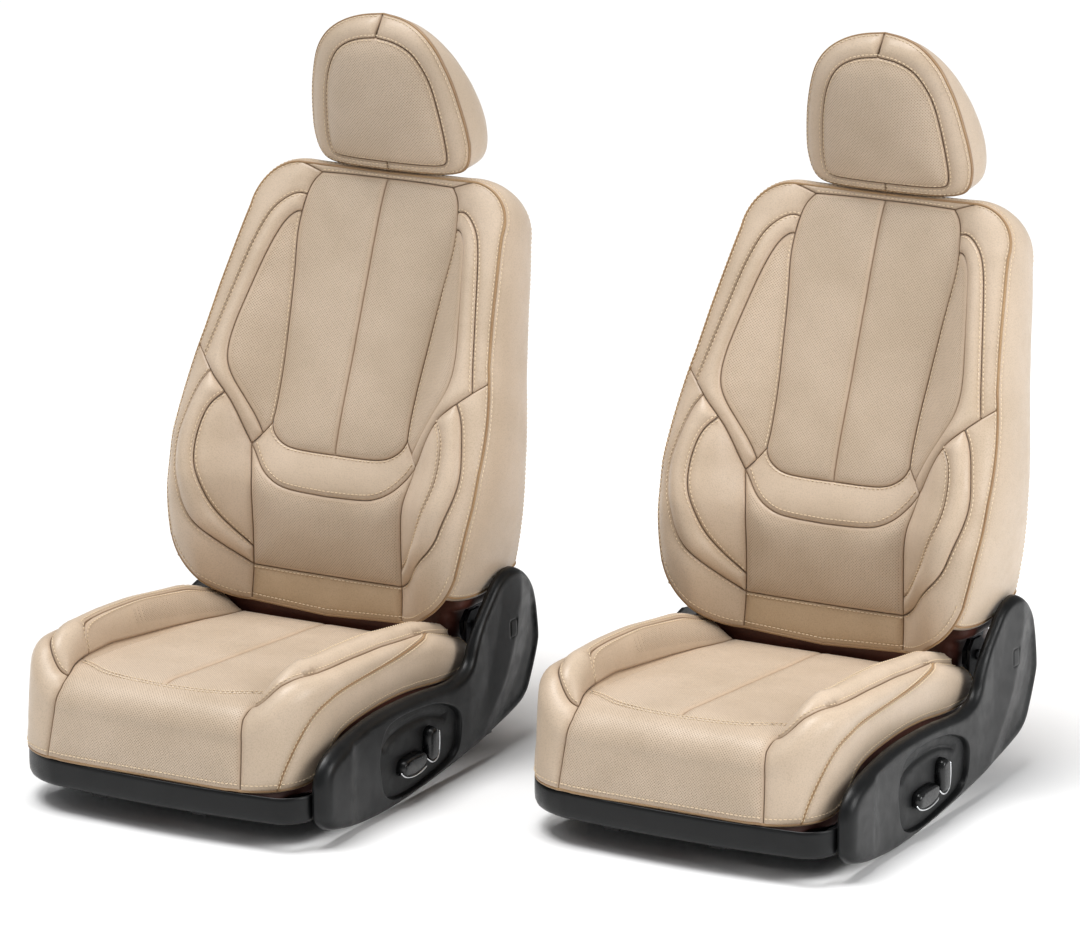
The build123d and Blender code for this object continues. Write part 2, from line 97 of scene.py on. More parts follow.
def chain(*lines):
    """One line from several that follow each other, without doubled points."""
    joined = np.concatenate([np.asarray(line, float) for line in lines])
    keep = np.concatenate([[True], np.linalg.norm(np.diff(joined, axis=0), axis=1) > 0.05])
    return joined[keep]


def flip(line):
    """The line's mirror image across the seat's middle, run the other way."""
    turned = np.array(line, float)[::-1]
    turned[:, 0] *= -1
    return turned


def both_sides(line):
    """A line that starts on the seat's middle, joined to its mirror image."""
    return chain(flip(line), line)


def profile(points, soften=24.0):
    """A softly rounded function through (place, value) points, straight on beyond its ends."""
    place, value = np.array(points, float).T
    order = np.argsort(place)
    place, value = place[order], value[order]
    fine = np.arange(place[0] - 90, place[-1] + 90, 2.0)
    rise = np.interp(fine, place, value)
    for end, side in ((0, fine < place[0]), (-1, fine > place[-1])):
        inner = 1 if end == 0 else -2
        slope = (value[inner] - value[end]) / (place[inner] - place[end])
        rise[side] = value[end] + slope * (fine[side] - place[end])
    window = np.ones(max(1, int(soften / 2))) / max(1, int(soften / 2))
    reach = len(window)
    for _ in range(2):
        padded = np.concatenate([rise[0] + (rise[0] - rise[reach:0:-1]), rise,
                                 rise[-1] + (rise[-1] - rise[-2:-reach - 2:-1])])
        rise = np.convolve(padded, window, "same")[reach:-reach]
    return lambda at: np.interp(at, fine, rise)


def distance(points, line):
    """How far each point is from a line of straight runs."""
    start, run = line[:-1], np.diff(line, axis=0)
    length2 = np.maximum((run ** 2).sum(1), 1e-9)
    found = np.empty(len(points))
    for k in range(0, len(points), 3000):
        offset = points[k:k + 3000, None] - start
        t = np.clip((offset * run).sum(2) / length2, 0, 1)
        found[k:k + 3000] = np.sqrt(((offset - t[..., None] * run) ** 2).sum(2).min(1))
    return found


def inside(points, loop):
    """Which points a closed loop goes round."""
    a, b = loop, np.roll(loop, -1, axis=0)
    found = np.empty(len(points), bool)
    for k in range(0, len(points), 4000):
        x, y = points[k:k + 4000, 0:1], points[k:k + 4000, 1:2]
        crossed = (a[:, 1] > y) != (b[:, 1] > y)
        rise = np.where(b[:, 1] == a[:, 1], 1e-9, b[:, 1] - a[:, 1])
        left_of = x < (b[:, 0] - a[:, 0]) * (y - a[:, 1]) / rise + a[:, 0]
        found[k:k + 4000] = (crossed & left_of).sum(1) % 2 == 1
    return found


def beside(line, off):
    """The line moved sideways: to its left where off is positive."""
    line = np.asarray(line, float)
    along = np.gradient(line, axis=0)
    along /= np.maximum(np.linalg.norm(along, axis=1, keepdims=True), 1e-9)
    return line + off * np.stack([-along[:, 1], along[:, 0]], -1)


# ---- base surfaces lifted along their normals
def lift(base, pattern, height):
    """Points of a base surface, moved out along its normal, and those normals."""
    step = 0.6
    across, up = np.array([step, 0]), np.array([0, step])
    right = base(pattern + across) - base(pattern - across)
    normal = np.cross(right, base(pattern + up) - base(pattern - up))
    normal /= np.maximum(np.linalg.norm(normal, axis=1, keepdims=True), 1e-9)
    return base(pattern) + normal * height[:, None], normal


RIPPLES = [
    (rng.normal(size=3) / 38.0, rng.uniform(0, 6.28),
    0.28) for _ in range(5)] + [(rng.normal(size=3) / 14.0, rng.uniform(0, 6.28), 0.07) for _ in range(6)]


def ripple(points):
    """The slight unevenness of stretched leatherette, in millimetres."""
    return sum(size * np.sin(points @ wave + phase) for wave, phase, size in RIPPLES)


def unrolled(base, at):
    """Pattern places with true lengths across the surface, so that holes stay round on a steep side."""
    shares = np.linspace(0, 1, 25)
    route = np.stack([base(at * [share, 1]) for share in shares])
    across = np.linalg.norm(np.diff(route, axis=0), axis=2).sum(0)
    return np.stack([np.sign(at[:, 0]) * across, at[:, 1]], -1)


SEAM_DEPTH = 1.2
EDGE_ROLL = 1.5
RIPPLE_FADE = 12
STITCH_OFF = 3.6


class Panel:
    """One panel of a sewn face: a loop in the flat pattern, swollen between its seams."""

    def __init__(self, base, loop, crown=5.0, reach=25.0, edge=2.4, creases=(), step=7.0, pucker=0.22,
                 rings=(0.9, 2.2, 4.2), extra=None, seams=None):
        self.base, self.crown, self.reach, self.edge, self.step = base, crown, reach, edge, step
        loop = np.asarray(loop, float)
        if np.linalg.norm(loop[0] - loop[-1]) < 0.5:
            loop = loop[:-1]
        x, y = loop.T
        if (x * np.roll(y, -1) - np.roll(x, -1) * y).sum() < 0:
            loop = loop[::-1]
        self.loop, self.closed = loop, np.concatenate([loop, loop[:1]])
        # a crease of no depth only makes the mesh follow its line
        self.creases = [(resample(line, 3.5), depth, width) for line, depth, width in creases]
        self.pucker, self.rings, self.extra = pucker, rings, extra
        self.seams = seams or [self.closed]

    def from_seam(self, at):
        """How far each place is from the nearest seam that the panel swells from."""
        return np.min([distance(at, line) for line in self.seams], axis=0)

    def height(self, at):
        """The panel's rise over the foam, and the distance from the nearest seam."""
        gap = self.from_seam(at)
        rise = self.edge * (1 - np.exp(-gap / EDGE_ROLL)) + self.crown * (1 - np.exp(-gap / self.reach))
        if self.pucker:
            x, y = at.T
            fold = np.sin(x * 0.52 + 1.7 * np.sin(y * 0.11)) * np.sin(y * 0.47 + x * 0.06)
            rise += self.pucker * fold * np.exp(-gap / 9.0) * (1 - np.exp(-gap / 2.0))
        seam = gap
        for line, depth, width in self.creases:
            off = distance(at, line)
            rise -= depth * np.exp(-off / width)
            if depth > SEAM_DEPTH:
                seam = np.minimum(seam, off)
        if self.extra:
            rise += self.extra(at)
        return rise, seam

    def place(self, at, above=0.0):
        """Places on the finished panel, and the surface's normals there."""
        at = np.asarray(at, float)
        height, _ = self.height(at)
        if self.pucker:
            height = height + ripple(self.base(at)) * np.clip(self.from_seam(at) / RIPPLE_FADE, 0, 1)
        return lift(self.base, at, height + above)

    def mesh(self):
        """Triangles between the panel's edge, its creases and a loose grid, finer beside each line."""
        lines = [line for line, _, _ in self.creases]
        low, high = self.loop.min(0), self.loop.max(0)
        grid = np.stack(np.meshgrid(np.arange(low[0], high[0], self.step),
                                    np.arange(low[1], high[1], self.step * 0.87)), -1)
        grid[1::2, :, 0] += self.step / 2
        kept = [self.loop] + lines
        near_edge = []
        for ring in self.rings:
            turned = beside(self.closed, ring)[:-1]
            near_edge.append(turned[distance(turned, self.closed) > 0.93 * ring])
            for line in lines:
                for side in (-ring, ring):
                    moved = beside(line, side)
                    clear = distance(moved, self.closed) > 1.2
                    near_edge.append(moved[clear & (distance(moved, line) > 0.93 * ring)])
        inner = grid.reshape(-1, 2)
        inner = inner[distance(inner, self.closed) > self.rings[-1] + 0.55 * self.step]
        for line in lines:
            inner = inner[distance(inner, line) > self.rings[-1] + 0.55 * self.step]
        loose = np.concatenate(near_edge + [inner])
        loose = loose[inside(loose, self.loop)]
        points = np.concatenate(kept + [loose])
        edges, first = [], 0
        for k, line in enumerate(kept):
            count = len(line)
            edges += [(first + i, first + i + 1) for i in range(count - 1)]
            if k == 0:
                edges.append((count - 1, 0))
            first += count
        found = delaunay_2d_cdt([Vector(p) for p in points], edges, [list(range(len(self.loop)))], 1, 1e-4)
        at = np.array([tuple(v) for v in found[0]])
        faces = np.array([list(f) for f in found[2]])
        a, b, c = at[faces[:, 0]], at[faces[:, 1]], at[faces[:, 2]]
        area = (b[:, 0] - a[:, 0]) * (c[:, 1] - a[:, 1]) - (b[:, 1] - a[:, 1]) * (c[:, 0] - a[:, 0])
        faces[area < 0] = faces[area < 0][:, ::-1]
        where, _ = self.place(at)
        _, seam = self.height(at)
        return Shape(where, faces, unrolled(self.base, at), seam)


# ---- plain meshes
class Shape:
    """Points, faces, flat pattern places and distances from the nearest seam."""

    def __init__(self, points, faces, pattern=None, seam=None):
        self.points = np.asarray(points, float)
        self.faces = [list(map(int, f)) for f in faces]
        self.pattern = self.points[:, :2] if pattern is None else np.asarray(pattern, float)
        self.seam = np.full(len(self.points), 50.0) if seam is None else np.asarray(seam, float)

    def mirrored(self):
        points = self.points * [-1, 1, 1]
        return Shape(points, [f[::-1] for f in self.faces], self.pattern, self.seam)


def join(shapes):
    faces, first = [], 0
    for shape in shapes:
        faces += [[i + first for i in f] for f in shape.faces]
        first += len(shape.points)
    return Shape(np.concatenate([s.points for s in shapes]), faces,
                 np.concatenate([s.pattern for s in shapes]), np.concatenate([s.seam for s in shapes]))


def lattice(points, wrap=False, pattern=None, seam=None):
    """A mesh from rows of points; wrap joins the last column to the first."""
    rows, columns = points.shape[:2]
    faces = []
    for i in range(rows - 1):
        for j in range(columns if wrap else columns - 1):
            k = (j + 1) % columns
            faces.append((i * columns + j, i * columns + k, (i + 1) * columns + k, (i + 1) * columns + j))
    flat = None if pattern is None else pattern.reshape(-1, 2)
    return Shape(points.reshape(-1, 3), faces, flat, None if seam is None else seam.reshape(-1))


def capped(shape, rows, columns):
    """A wrapped lattice closed by a face over its first and its last row."""
    shape.faces.append(list(range(columns))[::-1])
    shape.faces.append(list(range((rows - 1) * columns, rows * columns)))
    return shape


def frames(path):
    """Tangents of a path in space and two more directions that turn as little as possible."""
    tangent = np.gradient(path, axis=0)
    tangent /= np.maximum(np.linalg.norm(tangent, axis=1, keepdims=True), 1e-9)
    side = np.empty_like(path)
    start = np.cross(tangent[0], [0.31, 0.17, 0.94])
    side[0] = start / np.linalg.norm(start)
    for i in range(1, len(path)):
        turned = side[i - 1] - tangent[i] * (side[i - 1] @ tangent[i])
        side[i] = turned / np.linalg.norm(turned)
    return tangent, side, np.cross(tangent, side)


TUBE_SIDES = 8


def tube(path, radius):
    """A round tube along a path in space."""
    path = np.asarray(path, float)
    _, side, other = frames(path)
    turn = 2 * pi * np.arange(TUBE_SIDES) / TUBE_SIDES
    ring = np.cos(turn)[None, :, None] * side[:, None] + np.sin(turn)[None, :, None] * other[:, None]
    points = path[:, None] + radius * ring
    return capped(lattice(points, wrap=True), len(points), TUBE_SIDES)


THREAD_T = np.array([-1.0, -0.72, 0.0, 0.72, 1.0])[:, None]
THREAD_R = np.array([0.25, 0.85, 1.0, 0.85, 0.25])[:, None]
THREAD_ROWS, THREAD_SIDES = len(THREAD_T), 6
STITCH_LENGTH, STITCH_GAP, STITCH_R = 5.4, 2.0, 0.85


def stitches(path, normal):
    """A row of sewn stitches: short threads that arch over the surface."""
    run = np.concatenate([[0], np.cumsum(np.linalg.norm(np.diff(path, axis=0), axis=1))])
    half = STITCH_LENGTH / 2
    middles = np.arange(STITCH_GAP + half, run[-1] - half, STITCH_LENGTH + STITCH_GAP)
    if not len(middles):
        return None

    def at(where, of):
        return np.stack([np.interp(where, run, column) for column in of.T], -1)

    centre, up = at(middles, path), at(middles, normal)
    along = at(middles + half, path) - at(middles - half, path)
    along /= np.maximum(np.linalg.norm(along, axis=1, keepdims=True), 1e-9)
    up -= along * (up * along).sum(1, keepdims=True)
    up /= np.maximum(np.linalg.norm(up, axis=1, keepdims=True), 1e-9)
    turn = 2 * pi * np.arange(THREAD_SIDES) / THREAD_SIDES
    ring = STITCH_R * THREAD_R
    local = np.stack([np.broadcast_to(THREAD_T * STITCH_LENGTH / 2, (THREAD_ROWS, THREAD_SIDES)),
                      ring * np.cos(turn), ring * np.sin(turn) + STITCH_R * (0.35 - 0.7 * THREAD_T ** 2)],
                     -1).reshape(-1, 3)
    base = np.stack([along, np.cross(along, up), up], 1)
    points = centre[:, None] + np.einsum("pk,skd->spd", local, base)
    return join([capped(lattice(thread.reshape(THREAD_ROWS, THREAD_SIDES, 3), wrap=True), THREAD_ROWS,
                        THREAD_SIDES) for thread in points])


STITCH_RISE = 0.4


def sewn(panel, line, off=0.0):
    """Stitches beside a line, where they run inside a panel's flat pattern."""
    line = resample(beside(line, off), 3.0)
    line = line[inside(line, panel.loop)]
    if len(line) < 4:
        return None
    return stitches(*panel.place(line, STITCH_RISE))


def welt(panel, line, radius=1.7, above=0.6):
    """A round piping cord along a line in a panel's flat pattern."""
    line = resample(line, 3.5)
    where, _ = lift(panel.base, line, np.full(len(line), above))
    return tube(where, radius)


QUILT_EDGE, QUILT_ROLL = 2.4, 1.6


def quilted(points, gap, crown, reach):
    """Lifts a lattice off its seams along its normals, given each point's distance from the nearest seam."""
    normal = np.cross(np.gradient(points, axis=1), np.gradient(points, axis=0))
    normal /= np.maximum(np.linalg.norm(normal, axis=2, keepdims=True), 1e-9)
    rise = QUILT_EDGE * (1 - np.exp(-gap / QUILT_ROLL)) + crown * (1 - np.exp(-gap / reach))
    rise += ripple(points.reshape(-1, 3)).reshape(gap.shape) * np.clip(gap / RIPPLE_FADE, 0, 1)
    return points + normal * rise[..., None], normal


def along(points, axis):
    """Length run along the rows or columns of a lattice."""
    step = np.linalg.norm(np.diff(points, axis=axis), axis=2)
    start = np.zeros_like(points[..., 0].take([0], axis))
    return np.concatenate([start, np.cumsum(step, axis=axis)], axis=axis)


def eased(count):
    """Shares from 0 to 1, closer together near both ends."""
    t = np.linspace(0, 1, count)
    return t - 0.13 * np.sin(2 * pi * t)


# ---- materials
class Graph:
    """A tree of shader nodes, with short ways to add to it."""

    def __init__(self, tree):
        self.nodes, self.links = tree.nodes, tree.links

    def put(self, socket, value):
        """Links a socket to another node's output, or sets it where the value is plain."""
        if isinstance(value, bpy.types.NodeSocket):
            self.links.new(value, socket)
        else:
            socket.default_value = value

    def add(self, kind, **values):
        """A new node; its settings and its inputs are given by name."""
        made = self.nodes.new(kind)
        for key, value in values.items():
            if hasattr(made, key):
                setattr(made, key, value)
            else:
                self.put(made.inputs[key.replace("_", " ")], value)
        return made

    def ranged(self, source, low, high, to_low, to_high, kind="SMOOTHSTEP"):
        """A value carried over from one range to another."""
        made = self.add("ShaderNodeMapRange", interpolation_type=kind, From_Min=low, From_Max=high,
                        To_Min=to_low, To_Max=to_high, Value=source)
        return made.outputs["Result"]

    def times(self, a, b):
        made = self.add("ShaderNodeMath", operation="MULTIPLY")
        self.put(made.inputs[0], a)
        self.put(made.inputs[1], b)
        return made.outputs[0]

    def vector(self, operation, *values):
        made = self.add("ShaderNodeVectorMath", operation=operation)
        for socket, value in zip(made.inputs, values):
            self.put(socket, value)
        return made.outputs["Value" if operation == "LENGTH" else 0]

    def mixed(self, factor, a, b, blend="MIX"):
        made = self.add("ShaderNodeMix", data_type="RGBA", blend_type=blend, Factor=factor, A=a, B=b)
        return made.outputs["Result"]

    def bump(self, height, metres, strength, under=None):
        made = self.add("ShaderNodeBump", Distance=metres, Strength=strength, Height=height)
        if under is not None:
            self.put(made.inputs["Normal"], under)
        return made.outputs["Normal"]


class Finish(Graph):
    """The nodes of a new material."""

    def __init__(self, name):
        self.material = bpy.data.materials.new(name)
        self.material.use_nodes = True
        super().__init__(self.material.node_tree)
        self.coords = self.add("ShaderNodeTexCoord").outputs["Object"]

    def noise(self, scale, detail):
        made = self.add("ShaderNodeTexNoise", Scale=scale, Detail=detail, Roughness=0.55, Vector=self.coords)
        return made.outputs["Fac"]

    def shade(self, **values):
        """Sets or links the shader's inputs, given by name, and returns the finished material."""
        for key, value in values.items():
            self.put(self.nodes["Principled BSDF"].inputs[key.replace("_", " ")], value)
        return self.material


def colour(red, green, blue):
    """A linear colour from an sRGB one, 0 to 255."""
    shares = np.array([red, green, blue]) / 255
    return [((c + 0.055) / 1.055) ** 2.4 if c > 0.0393 else c / 12.92 for c in shares.tolist()] + [1.0]


HOLE_PITCH, HOLE_R = 3.3, 0.19
SEAM_INK, HOLE_INK = 0.6, 0.75


def leather(name, light, dark, holes=False, rough=0.4):
    """Leatherette: pebbled grain, soft folds, uneven colour, darker seams with painted shade beside them,
    and a mesh of fine holes.
    """
    g = Finish(name)
    paint = g.mixed(g.ranged(g.noise(7.0, 4.0), 0.3, 0.7, 0, 1), dark, light)
    cells = g.add("ShaderNodeTexVoronoi", feature="SMOOTH_F1", Scale=620.0, Vector=g.coords)
    grain = cells.outputs["Distance"]
    paint = g.mixed(1.0, paint, g.ranged(grain, 0.25, 0.8, 1.0, 0.86), "MULTIPLY")
    seam = g.add("ShaderNodeAttribute", attribute_name="seam").outputs["Fac"]
    paint = g.mixed(g.times(g.ranged(seam, 0.3, 1.7, 1.0, 0.0), SEAM_INK), paint, SEAM_BROWN)
    # painted shade: within 14 mm of each seam the leather is drawn towards a darker brown, standing in for
    # the shade in the seam's hollow
    paint = g.mixed(g.ranged(seam, 2.0, 14.0, 0.22, 0.0), paint, SEAM_SHADE_BROWN)
    surface = g.bump(g.noise(30.0, 3.0), 0.0011, 0.35)
    surface = g.bump(g.times(grain, -1.0), 0.00022, 0.55, surface)
    if holes:
        pattern = g.add("ShaderNodeAttribute", attribute_name="pattern").outputs["Vector"]
        pitches = 1 / HOLE_PITCH * 1000
        turned = g.add("ShaderNodeMapping", vector_type="POINT", Rotation=(0, 0, radians(45)),
                       Scale=(pitches, pitches, 0), Vector=pattern)
        cell = g.vector("FRACTION", turned.outputs[0])
        off = g.vector("LENGTH", g.vector("SUBTRACT", cell, (0.5, 0.5, 0)))
        clear = g.ranged(seam, 5.0, 6.0, 0.0, 1.0)
        hole = g.times(g.ranged(off, HOLE_R * 0.75, HOLE_R * 1.25, 1.0, 0.0), clear)
        paint = g.mixed(g.times(hole, HOLE_INK), paint, HOLE_BROWN)
        surface = g.bump(g.times(hole, -1.0), 0.0006, 0.9, surface)
    wear = g.ranged(g.noise(60.0, 3.0), 0.3, 0.7, rough - 0.05, rough + 0.08)
    return g.shade(Base_Color=paint, Roughness=wear, Normal=surface, Specular_IOR_Level=0.42,
                   Sheen_Weight=0.12, Sheen_Roughness=0.45)


def plastic(name, base, worn, rough, grain_scale, grain_depth, gloss=0.5):
    """Moulded plastic: an etched grain, slight unevenness and paler rubbed patches."""
    g = Finish(name)
    paint = g.mixed(g.ranged(g.noise(9.0, 5.0), 0.45, 0.8, 0.0, 1.0), base, worn)
    patch = g.ranged(g.noise(40.0, 4.0), 0.3, 0.7, rough - 0.05, rough + 0.07)
    cells = g.add("ShaderNodeTexVoronoi", Scale=grain_scale, Vector=g.coords)
    return g.shade(Base_Color=paint, Roughness=patch, Specular_IOR_Level=gloss,
                   Normal=g.bump(cells.outputs["Distance"], grain_depth, 0.6))


def metal(name, base, stained, rough, brushed=0.0):
    """Metal with stains and fine scratches."""
    g = Finish(name)
    paint = g.mixed(g.ranged(g.noise(24.0, 5.0), 0.45, 0.75, 0.0, 1.0), base, stained)
    scratch = g.noise(400.0, 2.0)
    return g.shade(Base_Color=paint, Roughness=g.ranged(scratch, 0.3, 0.7, rough, rough + 0.12 + brushed),
                   Normal=g.bump(scratch, 0.00005, 0.3), Metallic=1.0)


def webbing(name, base, ridge):
    """Woven elastic: ribs across the strap."""
    g = Finish(name)
    ribs = g.add("ShaderNodeTexWave", bands_direction="Y", Scale=160.0, Distortion=0.6, Vector=g.coords)
    return g.shade(Base_Color=g.mixed(ribs.outputs["Fac"], base, ridge), Roughness=0.85,
                   Normal=g.bump(ribs.outputs["Fac"], 0.0005, 0.8))


SEAM_BROWN = colour(124, 90, 58)
# painted shade: the darker brown laid on the leather beside its seams
SEAM_SHADE_BROWN = colour(150, 118, 84)
HOLE_BROWN = colour(98, 76, 52)
TAN = (colour(207, 187, 165), colour(196, 176, 153))
MATERIALS = {
    "smooth_leather": leather("smooth_leather", *TAN),
    "perforated_leather": leather("perforated_leather", *TAN, holes=True, rough=0.44),
    # painted shade: a darker, warmer copy of the tan leather for the strip at the backrest's foot, standing
    # in for the shade and warm bounce light there
    "painted_shade_foot_leather": leather("painted_shade_foot_leather", colour(197, 173, 144), colour(184, 160, 130)),
    "piping": leather("piping_leather", colour(170, 138, 100), colour(152, 120, 86)),
    "thread": plastic("sewing_thread", colour(222, 202, 172), colour(232, 214, 186), 0.6, 3000.0, 0.0001,
                      0.3),
    "brown_upholstery": leather("brown_upholstery", colour(98, 52, 38), colour(78, 40, 30), rough=0.46),
    "black_plastic": plastic("black_plastic", colour(14, 15, 16), colour(20, 21, 22), 0.34, 1500.0, 0.00012,
                             0.28),
    "recess_plastic": plastic("recess_plastic", colour(17, 18, 19), colour(25, 26, 27), 0.5, 900.0, 0.0004,
                              0.4),
    "switch_plastic": plastic("switch_plastic", colour(13, 14, 15), colour(19, 20, 21), 0.25, 2200.0,
                              0.00006),
    "black_elastic": webbing("black_elastic", colour(18, 18, 19), colour(44, 44, 46)),
    "frame_steel": metal("frame_steel", colour(74, 76, 80), colour(54, 55, 58), 0.42),
    "rail_steel": metal("rail_steel", colour(150, 152, 156), colour(112, 112, 114), 0.3, 0.1),
    "post_chrome": metal("post_chrome", colour(226, 228, 230), colour(212, 214, 217), 0.07),
    "chrome_trim": metal("chrome_trim", colour(232, 234, 236), colour(220, 222, 224), 0.1),
}

# ---- seats: places from the frame
PLACE = {}
for seat in SEATS:
    low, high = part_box(f"{seat}_lower_rails")
    PLACE[seat] = Vector(((low.x + high.x) / 2, (low.y + high.y) / 2 - RAIL_MID_Y * MM, 0))


def add_piece(name, shape, material, body, nodes=(), thick=0.0):
    """The same piece on both seats, riding on each seat's own body."""
    for seat in SEATS:
        title = f"{seat}_{name}"
        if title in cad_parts:
            title += "_skin"
        mesh = bpy.data.meshes.new(title)
        mesh.from_pydata([tuple(p) for p in shape.points * MM + np.array(PLACE[seat])], [], shape.faces)
        mesh.validate()
        flat_places = np.zeros((len(shape.points), 3), np.float32)
        flat_places[:, :2] = shape.pattern * MM
        pattern = mesh.attributes.new("pattern", "FLOAT_VECTOR", "POINT")
        pattern.data.foreach_set("vector", flat_places.ravel())
        seam = mesh.attributes.new("seam", "FLOAT", "POINT")
        seam.data.foreach_set("value", shape.seam.astype(np.float32))
        mesh.polygons.foreach_set("use_smooth", [True] * len(mesh.polygons))
        mesh.materials.append(MATERIALS[material])
        piece = bpy.data.objects.new(title, mesh)
        bpy.context.scene.collection.objects.link(piece)
        if thick:
            shell = piece.modifiers.new("thickness", "SOLIDIFY")
            shell.thickness, shell.offset = thick * MM, -1
        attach(piece, f"{seat}_{body}")
        if nodes:
            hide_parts(*[f"{seat}_{n}" for n in nodes])


def sheet(name, panel, material, body, nodes=(), mirror=False):
    """A piece from one panel of a sewn face, and from its mirror image where it has two sides."""
    shapes = [panel.mesh()]
    if mirror:
        shapes.append(shapes[0].mirrored())
    add_piece(name, join(shapes), material, body, nodes, thick=LEATHER_T)


def rows(name, shapes, body, material="thread", mirror=True):
    """Stitches or piping of one body, gathered in one piece."""
    shapes = [shape for shape in shapes if shape is not None]
    if mirror:
        shapes += [shape.mirrored() for shape in shapes]
    add_piece(name, join(shapes), material, body)


# ---- backrest
RAKE = radians(18)
FOOT_Y, FOOT_Z = 94.0, 264.0


def on_back(x, s, n):
    """A place in the seat frame from one on the raked plane: s up along it and n forward of it."""
    return np.stack([x, FOOT_Y + s * sin(RAKE) - n * cos(RAKE), FOOT_Z + s * cos(RAKE) + n * sin(RAKE)], -1)


def to_back(side_line):
    y, z = np.array(side_line, float).T
    return np.stack([(y - FOOT_Y) * sin(RAKE) + (z - FOOT_Z) * cos(RAKE),
                     -(y - FOOT_Y) * cos(RAKE) + (z - FOOT_Z) * sin(RAKE)], -1)


middle_n = profile(
    to_back([(88, 180), (96, 262), (90, 400), (122, 458), (184, 604), (242, 750), (292, 874)]), 40)
crest_n = profile(
    to_back([(60, 180), (44, 262), (32, 330), (36, 420), (72, 496), (134, 606), (212, 756), (286, 876)]),
    40)
edge_n = profile(
    [(-40, 26), (-1, 45), (31, 57), (68, 67), (109, 74), (191, 70), (240, 66), (332, 56), (440, 45),
    (555, 25), (633, 5), (651, 1), (675, -3)], 30)
rear_n = profile(
    to_back([(374, 850), (352, 766), (320, 679), (275, 550), (252, 460), (246, 360), (240, 270),
    (214, 180)]), 50)
half_width = profile([(-60, 264), (31, 266), (190, 281), (365, 262), (575, 232), (640, 212), (670, 206)], 20)
trough_x = profile([(-60, 138), (190, 138), (235, 124), (400, 128), (560, 132), (670, 110)], 30)
CREST_SHARE = 0.81


def back_base(at):
    """The foam under the backrest's front cover."""
    x, s = at.T
    side, width = np.abs(x), half_width(s)
    crest_x, foot_x = CREST_SHARE * width, trough_x(s)
    t = np.clip((side - foot_x) / (crest_x - foot_x), 0, 1)
    q = np.clip((side - crest_x) / (width - crest_x), 0, 1.2)
    n = middle_n(s) + (crest_n(s) - middle_n(s)) * t * t * (3 - 2 * t) - (crest_n(s) - edge_n(s)) * q * q
    return on_back(x, s, n - 1.0)


STEP = 4.0


def curve(*points):
    """A rounded seam through places in a pattern."""
    return resample(smooth(points), STEP)


# drawn seams and outlines: x to the side, s up the raked back
OUTLINE_FOOT = chain([(0, -59), (140, -52)], arc((140, -52), (225, -25), (262, 31)))
OUTLINE_SIDE = chain(arc((262, 31), (281, 190), (262, 365), 40), [(262, 365), (232, 575)],
                     arc((232, 575), (211, 632), (158, 655)))
side_at = np.argmin(np.abs(OUTLINE_SIDE[:, 1] - 337))
FOOT_SEAM = curve(
    (153, 194), (163, 212), (176, 239), (193, 266), (226, 300), (247, 321), OUTLINE_SIDE[side_at])
foot_split = np.argmin(np.abs(FOOT_SEAM[:, 0] - 226))
arc_split = np.argmin(np.abs(FOOT_SEAM[:, 0] - 246))
INSERT_FOOT = curve((0, 194), (60, 194), (90, 197), (108, 206), (120, 218), (125, 232))
INSERT_SIDE = curve(
    (125, 232), (123, 262), (125, 325), (129, 376), (137, 476), (144, 530), (145, 560), (142, 596),
    (135, 626), (121, 643))
INSERT_TOP = curve((121, 643), (60, 645), (0, 645))
arc_top = np.argmin(np.abs(INSERT_SIDE[:, 1] - 604))
pad_top = np.argmin(np.abs(INSERT_SIDE[:, 1] - 578))
BAND_FOOT = curve((0, 127), (71, 129), (97, 136), (120, 150), (137, 170), (153, 194))
BAND_END = resample([(125, 232), (137, 215), (153, 194)], STEP)
band_split = len(BAND_END) // 2
OUTER_ARC = curve(
    INSERT_SIDE[arc_top], (152, 606), (168, 598), (187, 577), (199, 548), (210, 505), (220, 455),
    (230, 405), (238, 362), FOOT_SEAM[arc_split])
INNER_ARC = curve(
    INSERT_SIDE[pad_top], (152, 576), (164, 562), (173, 538), (182, 501), (190, 462), (199, 416),
    (206, 377), (208, 343), (203, 316), (190, 292), (170, 264), (151, 236), BAND_END[band_split])
LUMBAR_SIDE = curve((153, 194), (148, 168), (139, 130), (137, 66), (138, 4))
LOW_SEAM = curve((138, 4), (70, 3), (0, 3))
HEM_TICK = resample([(138, 4), (140, -52)], STEP)
LEAF_EDGE = curve(
    FOOT_SEAM[foot_split], (242, 276), (254, 224), (260, 186), (254, 145), (243, 112), (232, 79), (212, 54),
    (187, 34), (164, 17), (138, 4))
rim_top = np.argmin(np.abs(FOOT_SEAM[:, 0] - 197))
rim_foot = np.argmin(np.abs(LUMBAR_SIDE[:, 1] - 30))
LEAF_STITCH = curve(
    FOOT_SEAM[rim_top], (213, 250), (221, 222), (224, 184), (219, 149), (205, 116), (192, 88), (176, 66),
    (159, 48), LUMBAR_SIDE[rim_foot])
FOOT_SIDE = resample(OUTLINE_FOOT[1:], STEP)
FOOT_MIDDLE = resample([(140, -52), (0, -59)], STEP)
SIDE_LOW = resample(OUTLINE_SIDE[:side_at + 1], STEP)
SIDE_HIGH = resample(OUTLINE_SIDE[side_at:], STEP)
TOP_EDGE = curve((158, 655), (100, 655), (0, 654))
TOP_TICK = resample([(121, 643), (158, 655)], STEP)
HEM_BORDER = 9.0

